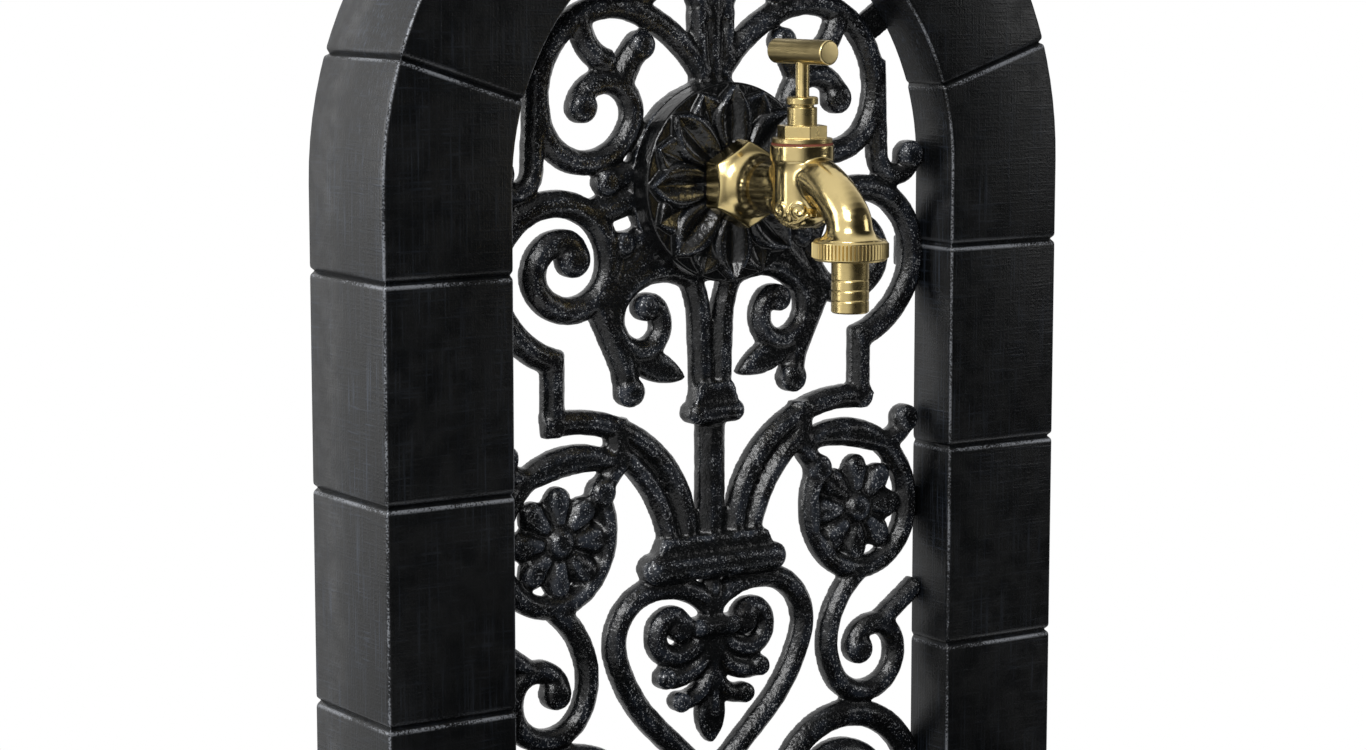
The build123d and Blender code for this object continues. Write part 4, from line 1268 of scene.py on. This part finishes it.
@dataclass
class BlockCasting:
    """A block-jointed casting that keeps its CAD form, its eased edges brushed with silver."""

    node: str
    easing: float = 0.9 * MM
    # Distances from an edge that its finish reads, away from the edges and on them
    far: float = 60 * MM
    on_edge: float = 0.25 * MM

    def build(self, finishes: Finishes) -> None:
        """Builds the casting.

        Args:
            finishes: The fountain's finishes.
        """
        piece = merged_copy(self.node, f"{self.node}_casting")
        for _ in range(2):
            piece.data.materials.append(None)
        eased(piece, self.easing, edge_slot=1)
        faces = np.empty(len(piece.data.polygons), dtype=np.int32)
        piece.data.polygons.foreach_get("material_index", faces)
        piece.data.polygons.foreach_set("material_index", np.zeros_like(faces))
        write_mark(piece.data, "lip", np.where(faces == 1, self.on_edge, self.far), "FACE")
        for mark in ("joint", "under"):
            write_mark(piece.data, mark, [self.far] * len(piece.data.vertices))
        dress(piece, "stand", "black_iron", finishes.blocks, self.node)


@dataclass
class ScrollPanel:
    """Pierced scrollwork casting with rounded, lumpy bars."""

    voxel: float = 1.05 * MM
    # Smoothing passes before and after the flowers are sculpted
    early_softening: int = 2
    softening: int = 3
    swelling: float = 0.4 * MM
    lump: float = 5.0 * MM
    lump_height: float = 0.7 * MM
    flower_across: float = 79 * MM
    flower_drop: float = 155 * MM
    flower_radius: float = 24 * MM
    petals: int = 8
    button: float = 6 * MM
    crease: float = 3.0 * MM
    ring_out: float = 1.4 * MM
    ring_width: float = 1.3 * MM
    ring_share: float = 0.6
    arch_outer: float = 175 * MM
    lump_seed: float = 3.0

    def sculpt_flowers(self, mesh: bpy.types.Mesh) -> None:
        """Sinks creases between each flower's petals and round its button.

        Args:
            mesh: Evenly meshed panel.
        """
        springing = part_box("arch_surround")[1].z - self.arch_outer
        places, normals = vertex_arrays(mesh)
        for side in (-1, 1):
            across = places[:, 0] - side * self.flower_across
            up = places[:, 2] - (springing - self.flower_drop)
            radius = np.hypot(across, up)
            between = (0.5 - 0.5 * np.cos(np.arctan2(up, across) * self.petals)) ** 2
            inside = np.clip((radius - self.button) / (2 * MM), 0, 1)
            inside *= np.clip((self.flower_radius + 1 * MM - radius) / (3 * MM), 0, 1)
            away = (radius - self.button - self.ring_out) / self.ring_width
            ring = self.ring_share * np.exp(-(away ** 2))
            front = np.clip(-normals[:, 1] * 2, 0, 1)
            places[:, 1] += self.crease * np.maximum(between * inside, ring) * front
        set_places(mesh, places)

    def build(self, finishes: Finishes, lumps: LumpsTree) -> None:
        """Builds the panel.

        Args:
            finishes: The fountain's finishes.
            lumps: Geometry tree of the cast skin.
        """
        panel = merged_copy("grille_panel", "scrollwork", flat=0.0)
        from_voxels(panel, self.voxel, self.early_softening)
        self.sculpt_flowers(panel.data)
        add_softening(panel, self.softening)
        plain(panel)
        places, normals = vertex_arrays(panel.data)
        set_places(panel.data, places + self.swelling * normals)
        lumps.roughen(panel, self.lump, self.lump_height, self.lump_seed, finishes.scrolls)
        mark_relief(panel.data)
        thinned(panel)
        smooth_by_angle(panel.data, ALL_SMOOTH)
        dress(panel, "stand", "scroll_iron", finishes.scrolls, "grille_panel")


@dataclass(frozen=True)
class Petals:
    """One ring of equal cupped petals on a round boss."""

    # Distances from the middle
    root: float
    widest: float
    tip: float
    width: float
    # Height over the drum, and depth of the cup under it
    relief: float
    hollow: float
    # Angle of the first petal in radians
    turn: float
    count: int = 8
    # Width at the root, and of the cup, as shares of the petal's
    root_share: float = 0.42
    rim_share: float = 0.74
    # Roundings of the rim, as a share of the relief, and of the petal's side
    rim_fall: float = 0.3
    flank: float = 1.1 * MM
    # Distances over which the cup ends towards the tip and the root
    tip_end: float = 7 * MM
    root_end: float = 6 * MM

    def height(self, radius: np.ndarray, angle: np.ndarray) -> np.ndarray:
        """Works out the relief of the ring.

        Args:
            radius: Distances from the middle.
            angle: Angles in radians.

        Returns:
            Heights over the drum in metres, 0 between the petals.
        """
        step = math.tau / self.count
        turn = (angle - self.turn + step / 2) % step - step / 2
        side, along = np.abs(radius * np.sin(turn)), radius * np.cos(turn)
        inner = np.clip((along - self.root) / (self.widest - self.root), 0, 1)
        outer = np.clip((along - self.widest) / (self.tip - self.widest), 0, 1)
        swell = self.root_share + (1 - self.root_share) * np.sin(inner * math.pi / 2)
        half = self.width / 2 * swell * np.cos(outer ** 1.25 * math.pi / 2)
        past = np.maximum(side - half, 0) + np.maximum(along - self.tip, 0)
        q = np.clip(side / np.maximum(half, POLE), 0, 1)
        # A fold that opens from a soft crease to a round rim
        cup = 1 - np.sin(np.clip(q / self.rim_share, 0, 1) * math.pi / 2) ** 1.5
        near_tip = np.clip((self.tip - along) / self.tip_end, 0, 1) ** 0.6
        near_root = np.clip((along - self.root) / self.root_end, 0, 1) ** 0.7
        on_rim = np.clip((q - self.rim_share) / (1 - self.rim_share), 0, 1)
        top = (self.relief - self.hollow * cup * near_tip * near_root
               - self.rim_fall * self.relief * on_rim ** 2)
        return top * np.exp(-((past / self.flank) ** 2)) * (along > 0)


@dataclass
class RosetteBoss:
    """Round boss with two rings of cupped petals round the tap's flange."""

    front_ring: Petals = Petals(12 * MM, 27 * MM, 41.5 * MM, 18.0 * MM, 4.5 * MM, 3.8 * MM,
                                math.radians(90))
    back_ring: Petals = Petals(14 * MM, 31 * MM, 41.0 * MM, 17.0 * MM, 2.9 * MM, 2.1 * MM,
                               math.radians(112.5))
    corner: float = 1.4 * MM
    hole: float = 10.85 * MM
    across: int = 480
    rings: int = 84

    def build(self, finishes: Finishes) -> None:
        """Builds the boss.

        Args:
            finishes: The fountain's finishes.
        """
        low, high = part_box("tap_boss")
        centre = middle_of(low, high)
        outer = (high.x - low.x) / 2
        drum_front = low.y + self.front_ring.relief
        radius = np.linspace(self.hole, outer - self.corner, self.rings + 1)
        rows = []
        for number in range(self.across + 1):
            angle = math.tau * number / self.across
            ray = Vector((math.cos(angle), 0, math.sin(angle)))
            height = np.maximum(self.front_ring.height(radius, np.full_like(radius, angle)),
                                self.back_ring.height(radius, np.full_like(radius, angle)))
            row = [centre + ray * reach + Vector((0, drum_front - rise - centre.y, 0))
                   for reach, rise in zip(radius.tolist(), height.tolist())]
            for step in range(1, 5):
                turn = math.radians(ROUND_STEP * step)
                row.append(centre + ray * (outer - self.corner + self.corner * math.sin(turn))
                           + Vector((0, drum_front + self.corner * (1 - math.cos(turn))
                                     - centre.y, 0)))
            row.append(centre + ray * outer + Vector((0, high.y - centre.y, 0)))
            row.append(centre + ray * self.hole + Vector((0, high.y - centre.y, 0)))
            rows.append(row)
        boss = grid_piece("rosette_boss", rows)
        closed_up(boss.data, TURNED_MERGE)
        mark_relief(boss.data, gain=3.0, rounds=2)
        smooth_by_angle(boss.data, 70)
        dress(boss, "stand", "black_iron", finishes.boss, "tap_boss")


# Tap


def curl(centre: tuple[float, float], radius: float, eye: float, start: float, turns: float
         ) -> np.ndarray:
    """Lays out a scroll that winds in on its eye.

    Args:
        centre: Place of the eye.
        radius: Radius where the scroll starts.
        eye: Radius where it ends.
        start: Angle in degrees where it starts.
        turns: Turns, below 0 for clockwise.

    Returns:
        Points along the scroll.
    """
    share = np.linspace(0, 1, 40)
    angle = math.radians(start) + math.tau * turns * share
    reach = radius + (eye - radius) * share
    return np.stack([centre[0] + reach * np.cos(angle),
                     centre[1] + reach * np.sin(angle)], axis=1)


def stroke(*corners: tuple[float, float]) -> np.ndarray:
    """Lays out points along straight lines between corners.

    Args:
        *corners: Corners in order.

    Returns:
        Points along the lines.
    """
    ends = np.array(corners)
    parts = [first + (second - first) * np.linspace(0, 1, 12)[:, None]
             for first, second in zip(ends[:-1], ends[1:])]
    return np.concatenate(parts)


@dataclass
class TapBody:
    """Polished cast brass body with its flange, barrel and curved spout.

    Depths run forwards from the flange's back and heights from the inlet's axis.
    """

    voxel: float = 0.42 * MM
    softening: int = 3
    # Passes of the blending, and of the spreading of its mask from the hollow corners
    blending: int = 360
    blend_spread: int = 50
    blend_gain: float = 9.0
    blend_start: float = 0.15
    blend_pull: float = 0.6
    blend_least: float = 0.01
    flange: float = 11.5 * MM
    flange_softening: int = 16
    # Depth at which the flange's softening starts, and how far past the flange it goes
    rim_start: float = 1.5 * MM
    rim_past: float = 3 * MM
    axis_height: float = 523.7 * MM
    barrel_depth: float = 46.7 * MM
    barrel_top: float = 12.0 * MM
    outlet_top: float = -17.5 * MM
    barrel_radius: float = 12.3 * MM
    barrel_margin: float = 3 * MM
    bowl_top: float = -7.0 * MM
    bowl_height: float = 9.5 * MM
    bowl_share: float = 0.6
    # The ornament: its height, its lines' width, its turn in degrees from the side, and
    # the heights that it keeps between
    relief: float = 0.7 * MM
    relief_width: float = 0.55 * MM
    relief_turn: float = 26.0
    relief_low: float = -17 * MM
    relief_high: float = -3 * MM
    # Its stem's heights, its bands' half widths and heights, and its scrolls (middle,
    # height, radius, eye, start in degrees, turns), in millimetres
    stem: tuple[float, float] = (-11.8, -8.4)
    bands: tuple[tuple[float, float], ...] = ((8.5, -13.2), (7.0, -15.3))
    band_rise: float = 3.6
    scrolls: tuple[tuple[float, ...], ...] = (
        (4.7, -7.4, 3.9, 1.3, 250.0, -1.1), (12.6, -5.6, 4.6, 2.6, 240.0, 0.4))

    def ornament(self) -> np.ndarray:
        """Lays out two scrolls over hanging bands.

        Returns:
            Points by distance round the barrel and height.
        """
        lines = [stroke(*((0, end) for end in self.stem))]
        widest = self.bands[0][0]
        for half, low in self.bands:
            across = np.linspace(-half, half, 40)
            lines.append(np.stack([across, low + self.band_rise * (across / widest) ** 2], axis=1))
        for middle, height, radius, eye, start, turns in self.scrolls:
            lines += [curl((side * middle, height), radius, eye, start, side * turns)
                      for side in (-1, 1)]
        return np.concatenate(lines) * MM

    def carve(self, mesh: bpy.types.Mesh, back: float) -> None:
        """Raises the ornament on both sides of the barrel.

        Args:
            mesh: Evenly meshed body.
            back: Y of the flange's back.
        """
        places, normals = vertex_arrays(mesh)
        forward, aside = back - self.barrel_depth - places[:, 1], np.abs(places[:, 0])
        height = places[:, 2] - self.axis_height
        reach = np.hypot(forward, aside)
        turn = np.arctan2(forward, aside) - math.radians(self.relief_turn)
        round_it = self.barrel_radius * turn
        near = np.flatnonzero((height < self.relief_high) & (height > self.relief_low)
                              & (aside > 1 * MM) & (reach > 5 * MM)
                              & (reach < self.barrel_radius + self.barrel_margin)
                              & (places[:, 0] * normals[:, 0] > 0))
        away = np.full(len(near), 1.0)
        for point in self.ornament():
            away = np.minimum(away, np.hypot(round_it[near] - point[0], height[near] - point[1]))
        rise = self.relief * np.exp(-((away / self.relief_width) ** 2))
        places[near] += normals[near] * rise[:, None]
        set_places(mesh, places)

    def narrow(self, mesh: bpy.types.Mesh, back: float) -> None:
        """Draws the barrel's lower end in like a bowl.

        Args:
            mesh: Evenly meshed body.
            back: Y of the flange's back.
        """
        places, _ = vertex_arrays(mesh)
        axis = back - self.barrel_depth
        reach = np.hypot(places[:, 0], places[:, 1] - axis)
        drop = np.clip((self.bowl_top + self.axis_height - places[:, 2]) / self.bowl_height, 0, 1)
        near = np.clip((self.barrel_radius + self.barrel_margin - reach) / (2.5 * MM), 0, 1)
        scale = 1 - near * (1 - np.sqrt(1 - self.bowl_share * drop ** 2))
        places[:, 0] *= scale
        places[:, 1] = axis + (places[:, 1] - axis) * scale
        set_places(mesh, places)

    def blend(self, mesh: bpy.types.Mesh, back: float) -> None:
        """Runs the neck, the spout and the barrel into each other, and softens the flange.

        Args:
            mesh: Evenly meshed body.
            back: Y of the flange's back.
        """
        near = VertexMean(mesh)
        places, _ = vertex_arrays(mesh)
        depth, height = back - places[:, 1], places[:, 2] - self.axis_height
        hollow = np.clip(-near.bending(mesh, 4) * self.blend_gain - self.blend_start, 0, 1)
        for _ in range(self.blend_spread):
            hollow = near.of(hollow)
        share = np.clip(hollow * self.blend_gain, 0, 1)
        share *= (depth > self.flange - 1 * MM) & (height < self.barrel_top)
        share *= height > self.outlet_top
        rim = np.clip((depth - self.rim_start) / (2 * MM), 0, 1)
        rim *= depth < self.flange + self.rim_past
        for amount, rounds in ((rim, self.flange_softening), (share, self.blending)):
            moved = amount > self.blend_least
            near = VertexMean(mesh, moved)
            pull = self.blend_pull * np.where(moved, amount, 0)[:, None]
            for _ in range(rounds):
                places += pull * (near.of(places) - places)
        set_places(mesh, places)

    def build(self, finishes: Finishes) -> None:
        """Builds the body.

        Args:
            finishes: The fountain's finishes.
        """
        body = merged_copy("tap_body", "tap_casting", flat=0.0)
        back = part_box("wall_washer")[0].y
        from_voxels(body, self.voxel, self.softening)
        self.narrow(body.data, back)
        self.blend(body.data, back)
        self.carve(body.data, back)
        mark_relief(body.data)
        thinned(body)
        smooth_by_angle(body.data, ALL_SMOOTH)
        dress(body, "stand", "polished_brass", finishes.polished, "tap_body")


@dataclass
class Headwork:
    """Turned bonnet, gland nut, spindle and T-bar, with the valve inside."""

    nut_easing: float = 0.3 * MM
    spindle_easing: float = 0.2 * MM
    bar_easing: float = 0.4 * MM

    def build(self, finishes: Finishes) -> None:
        """Dresses the headwork.

        Args:
            finishes: The fountain's finishes.
        """
        for node, body, finish, easing in (
                ("bonnet", "stand", finishes.turned, self.nut_easing),
                ("gland_nut", "stand", finishes.turned, self.nut_easing),
                ("spindle", "turning_spindle", finishes.turned, self.spindle_easing),
                ("handle_bar", "turning_spindle", finishes.turned_bar, self.bar_easing)):
            eased_node(node, body, "satin_brass", finish, easing)
        for node, finish in (
                ("jumper_valve", finishes.turned), ("washer_nut", finishes.turned),
                ("seat_washer", finishes.rubber), ("gland_packing", finishes.packing),
                ("bonnet_washer", finishes.fibre), ("wall_washer", finishes.fibre)):
            dress_node(node, finish)


@dataclass
class HoseUnion:
    """Knurled union nut and hose tail under the spout."""

    knurls: int = 60
    knurl_height: float = 0.62 * MM
    bevel: float = 0.7 * MM
    lip: float = 1.8 * MM
    flange_radius: float = 13.2 * MM
    tail_hole: float = 8.1 * MM
    tail_radius: float = 7.8 * MM
    tail_bore: float = 5.2 * MM
    tail_flange: float = 1.6 * MM
    tail_bevel: float = 0.6 * MM
    ring_depth: float = 0.22 * MM
    ring_half: float = 0.5 * MM
    ring_drops: tuple[float, ...] = (7.6 * MM, 11.8 * MM, 16.0 * MM)

    def knurl(self, length: float, width: float) -> bpy.types.Object:
        """Makes one straight knurl, pointing along +X from the nut's wall.

        Args:
            length: Height of the knurled band.
            width: Width of the knurl at its foot.

        Returns:
            The knurl, its middle at the origin.
        """
        tall, foot, crest = length / 2, width / 2, self.knurl_height
        points = [(-crest, -foot, -tall), (crest, 0, -tall + crest), (-crest, foot, -tall),
                  (-crest, -foot, tall), (crest, 0, tall - crest), (-crest, foot, tall)]
        faces = [(0, 1, 4, 3), (1, 2, 5, 4), (0, 3, 5, 2), (0, 2, 1), (3, 4, 5)]
        mesh = bpy.data.meshes.new("knurl")
        mesh.from_pydata(points, [], faces)
        return new_object("knurl", mesh)

    def build(self, finishes: Finishes, rings: RingTree) -> None:
        """Builds the nut and the tail.

        Args:
            finishes: The fountain's finishes.
            rings: Geometry tree that sets the knurls round the nut.
        """
        low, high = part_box("union_nut")
        centre = middle_of(low, high)
        outer = (high.x - low.x) / 2
        wall = outer - self.knurl_height
        half = (high.z - low.z) / 2
        profile = [(self.flange_radius, half), (wall - self.bevel, half), (wall, half - self.bevel),
                   (wall, -half + self.bevel), (wall - self.bevel, -half), (self.tail_hole, -half),
                   (self.tail_hole, -half + self.lip), (self.flange_radius, -half + self.lip)]
        nut = turned("knurled_nut", centre, profile)
        width = math.tau * wall / self.knurls
        shape = self.knurl(2 * (half - self.bevel), width)
        tree_modifier(nut, rings.tree, {
            "Shape": shape, "Count": self.knurls, "Radius": wall, "Centre": centre,
            "Finish": finishes.knurled})
        plain(nut)
        bpy.data.objects.remove(shape)
        dress(nut, "hose_nut", "polished_brass", finishes.knurled, "union_nut")
        self.tail(finishes, low.z)
        dress_node("hose_washer", finishes.fibre)

    def tail(self, finishes: Finishes, nut_bottom: float) -> None:
        """Turns the hose tail, with three shallow rings.

        Args:
            finishes: The fountain's finishes.
            nut_bottom: Height of the nut's underside.
        """
        low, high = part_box("hose_tail")
        reach = (high.x - low.x) / 2
        under = high.z - self.tail_flange
        profile = [(self.tail_bore, high.z), (reach, high.z), (reach, under),
                   (self.tail_radius, under)]
        for drop in self.ring_drops:
            top = nut_bottom - drop
            profile += [(self.tail_radius, top),
                        (self.tail_radius - self.ring_depth, top - self.ring_half),
                        (self.tail_radius, top - 2 * self.ring_half)]
        profile += [(self.tail_radius, low.z + self.tail_bevel),
                    (self.tail_radius - self.tail_bevel, low.z), (self.tail_bore, low.z)]
        axis = middle_of(low, high)
        tail = turned("hose_tail_turned", Vector((axis.x, axis.y, 0)), profile)
        smooth_by_angle(tail.data, 20)
        dress(tail, "outlet_tail", "satin_brass", finishes.turned, "hose_tail")


@dataclass
class RearConnection:
    """Backnut, washer and hose nipple behind the panel."""

    nut_easing: float = 0.5 * MM
    washer_easing: float = 0.2 * MM
    nipple_easing: float = 0.3 * MM

    def build(self, finishes: Finishes) -> None:
        """Dresses the connection.

        Args:
            finishes: The fountain's finishes.
        """
        eased_node("backnut", "stand", "satin_brass", finishes.machined, self.nut_easing)
        eased_node("backnut_washer", "stand", "zinc_steel", finishes.zinc, self.washer_easing)
        eased_node("inlet_connector", "stand", "satin_brass", finishes.machined,
                   self.nipple_easing)
        dress_node("inlet_seal", finishes.fibre)


@dataclass
class Drain:
    """Waste flange, strainer and backnut in the basin's floor."""

    flange_easing: float = 0.4 * MM
    strainer_easing: float = 0.2 * MM
    nut_easing: float = 0.5 * MM

    def build(self, finishes: Finishes) -> None:
        """Dresses the drain.

        Args:
            finishes: The fountain's finishes.
        """
        for node, easing in (("drain_flange", self.flange_easing),
                             ("drain_strainer", self.strainer_easing),
                             ("drain_backnut", self.nut_easing)):
            eased_node(node, "stand", "drain_brass", finishes.machined, easing)
        dress_node("drain_gasket", finishes.rubber)


@dataclass
class Fasteners:
    """Bolts, nuts and screws, each group made from one eased shape."""

    groups: tuple[str, ...] = ("base_bolts", "base_nuts", "basin_bolts", "basin_nuts",
                               "grille_screws")
    easing: float = 0.4 * MM

    def single(self, node: str) -> tuple[bpy.types.Object, list[Vector]]:
        """Splits a CAD group into one centred shape and the places of its copies.

        Args:
            node: CAD node with several equal solids.

        Returns:
            The eased shape and the middles of all the solids.
        """
        group = merged_copy(node, f"{node}_shape")
        shape = bmesh.new()
        shape.from_mesh(group.data)
        left = set(shape.verts)
        parts: list[list[bmesh.types.BMVert]] = []
        while left:
            stack, part = [left.pop()], []
            while stack:
                vertex = stack.pop()
                part.append(vertex)
                for edge in vertex.link_edges:
                    other = edge.other_vert(vertex)
                    if other in left:
                        left.remove(other)
                        stack.append(other)
            parts.append(part)
        middles = []
        for part in parts:
            low = Vector([min(vertex.co[axis] for vertex in part) for axis in range(3)])
            high = Vector([max(vertex.co[axis] for vertex in part) for axis in range(3)])
            middles.append(middle_of(low, high))
        kept = set(parts[0])
        bmesh.ops.delete(shape, geom=[v for v in shape.verts if v not in kept], context="VERTS")
        for vertex in shape.verts:
            vertex.co -= middles[0]
        shape.to_mesh(group.data)
        shape.free()
        return eased(group, self.easing), middles

    def build(self, finishes: Finishes, copies: CopiesTree) -> None:
        """Builds every group.

        Args:
            finishes: The fountain's finishes.
            copies: Geometry tree that sets the copies.
        """
        for node in self.groups:
            shape, middles = self.single(node)
            piece = copies.place(f"{node}_look", middles, shape, finishes.zinc)
            dress(piece, "stand", "zinc_steel", finishes.zinc, node)


# Studio


@dataclass
class Softbox:
    """A square lamp that faces a point."""

    name: str
    place: tuple[float, float, float]
    size: float
    # Brightness of its face, as an emission strength
    radiance: float
    target: tuple[float, float, float] = (0.0, 0.0, 0.45)

    def build(self) -> None:
        """Adds the lamp, its power worked out from the radiance of its face."""
        lamp = bpy.data.lights.new(self.name, "AREA")
        lamp.shape = "SQUARE"
        lamp.size = self.size
        lamp.energy = self.radiance * math.pi ** 2 * self.size ** 2
        holder = bpy.data.objects.new(self.name, lamp)
        bpy.context.scene.collection.objects.link(holder)
        aim = Vector(self.target) - Vector(self.place)
        holder.matrix_world = Matrix.Translation(self.place) @ aim.to_track_quat(
            "-Z", "Y").to_matrix().to_4x4()


@dataclass
class Studio:
    """White room, floor, lamps and the camera at the photograph's viewpoint."""

    camera_place: tuple[float, float, float] = (-0.8038, -1.0826, 0.6322)
    camera_aim: tuple[float, float, float] = (0.5529, 0.8222, -0.1349)
    lens: float = 86.57
    film: float = 36.0
    floor_radius: float = 0.85
    floor_solid: float = 0.45
    floor_eye: float = 1 * MM
    floor_drop: float = 0.2 * MM
    floor_steps: int = 64
    floor_colour: str = "#f4f4f4"
    # Where reflections see a dark wall, how light its middle is, and where it starts
    dark_side: tuple[float, float, float] = (0.56, -0.82, -0.05)
    dark: float = 0.02
    dark_reach: tuple[float, float] = (0.0, 0.68)
    # How light reflections see the ground, and the heights between which that comes
    below: float = 0.3
    below_reach: tuple[float, float] = (-0.6, 0.1)
    ambient: float = 0.55
    lamps: tuple[Softbox, ...] = (
        Softbox("key", (-1.5, -1.3, 1.9), 1.1, 3.2),
        Softbox("rim", (-2.0, 0.9, 0.9), 1.2, 1.6),
        Softbox("fill", (1.8, -1.2, 0.9), 0.8, 0.7),
    )

    def world(self) -> None:
        """Makes a white room, with one dark side and a darker floor in reflections."""
        world = bpy.data.worlds.new("room")
        bpy.context.scene.world = world
        tree = cleared_tree(world)
        path = add_node(tree, "ShaderNodeLightPath")
        place = add_node(tree, "ShaderNodeTexCoord")
        towards = add_node(tree, "ShaderNodeVectorMath", {
            0: place.outputs["Generated"], 1: self.dark_side}, operation="DOT_PRODUCT")
        dark = ramp(tree, towards.outputs["Value"], *self.dark_reach, 1.0, self.dark)
        height = add_node(tree, "ShaderNodeSeparateXYZ", {0: place.outputs["Generated"]})
        dark = combine(tree, "MULTIPLY", dark,
                       ramp(tree, height.outputs["Z"], *self.below_reach, self.below, 1.0))
        seen = combine(tree, "MAXIMUM", path.outputs["Is Glossy Ray"],
                       path.outputs["Is Transmission Ray"])
        level = add_node(tree, "ShaderNodeMix", {0: seen, 2: self.ambient, 3: dark},
                         data_type="FLOAT")
        level = add_node(tree, "ShaderNodeMix", {
            0: path.outputs["Is Camera Ray"], 2: level.outputs[0], 3: 1.0}, data_type="FLOAT")
        sky = add_node(tree, "ShaderNodeBackground", {
            "Color": (1, 1, 1, 1), "Strength": level.outputs[0]})
        add_node(tree, "ShaderNodeOutputWorld", {"Surface": sky})

    def floor(self) -> None:
        """Makes a white floor that fades out into the room."""
        material = bpy.data.materials.new("studio_floor_white")
        tree = cleared_tree(material)
        place = add_node(tree, "ShaderNodeTexCoord")
        away = add_node(tree, "ShaderNodeVectorMath", {0: place.outputs["Object"]},
                        operation="LENGTH")
        fade = ramp(tree, away.outputs["Value"], self.floor_solid, self.floor_radius)
        white = add_node(tree, "ShaderNodeBsdfDiffuse", {"Color": linear(self.floor_colour)})
        clear = add_node(tree, "ShaderNodeBsdfTransparent")
        mix = add_node(tree, "ShaderNodeMixShader", {0: fade, 1: white, 2: clear})
        add_node(tree, "ShaderNodeOutputMaterial", {"Surface": mix})
        turns = [math.tau * number / self.floor_steps for number in range(self.floor_steps)]
        rows = [[Vector((radius * math.cos(turn), radius * math.sin(turn), -self.floor_drop))
                 for turn in turns] for radius in (self.floor_eye, self.floor_radius)]
        floor = grid_piece("floor", rows)
        floor.data.materials.append(material)

    def camera(self) -> None:
        """Puts the camera where the photograph was taken."""
        lens = bpy.data.cameras.new("photo_camera")
        lens.lens = self.lens
        lens.sensor_width = self.film
        lens.sensor_fit = "HORIZONTAL"
        lens.clip_start = 0.05
        holder = bpy.data.objects.new("photo_camera", lens)
        bpy.context.scene.collection.objects.link(holder)
        turn = Vector(self.camera_aim).to_track_quat("-Z", "Y").to_matrix().to_4x4()
        holder.matrix_world = Matrix.Translation(self.camera_place) @ turn
        bpy.context.scene.camera = holder

    def build(self) -> None:
        """Sets up the room, the floor, the lamps and the camera."""
        bpy.context.scene.view_settings.view_transform = "Standard"
        self.world()
        self.floor()
        for lamp in self.lamps:
            lamp.build()
        self.camera()


def main() -> None:
    """Builds the fountain's looks and the studio round the frame."""
    logging.basicConfig(level=logging.INFO, format="%(name)s: %(message)s")
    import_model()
    finishes = make_finishes()
    copies, rings, lumps = CopiesTree(), RingTree(), LumpsTree()
    Arch().build(finishes)
    BlockCasting("plinth", 1.2 * MM).build(finishes)
    BlockCasting("basin").build(finishes)
    ScrollPanel().build(finishes, lumps)
    RosetteBoss().build(finishes)
    TapBody().build(finishes)
    Headwork().build(finishes)
    HoseUnion().build(finishes, rings)
    RearConnection().build(finishes)
    Drain().build(finishes)
    Fasteners().build(finishes, copies)
    Studio().build()


if __name__ == "__main__":
    main()
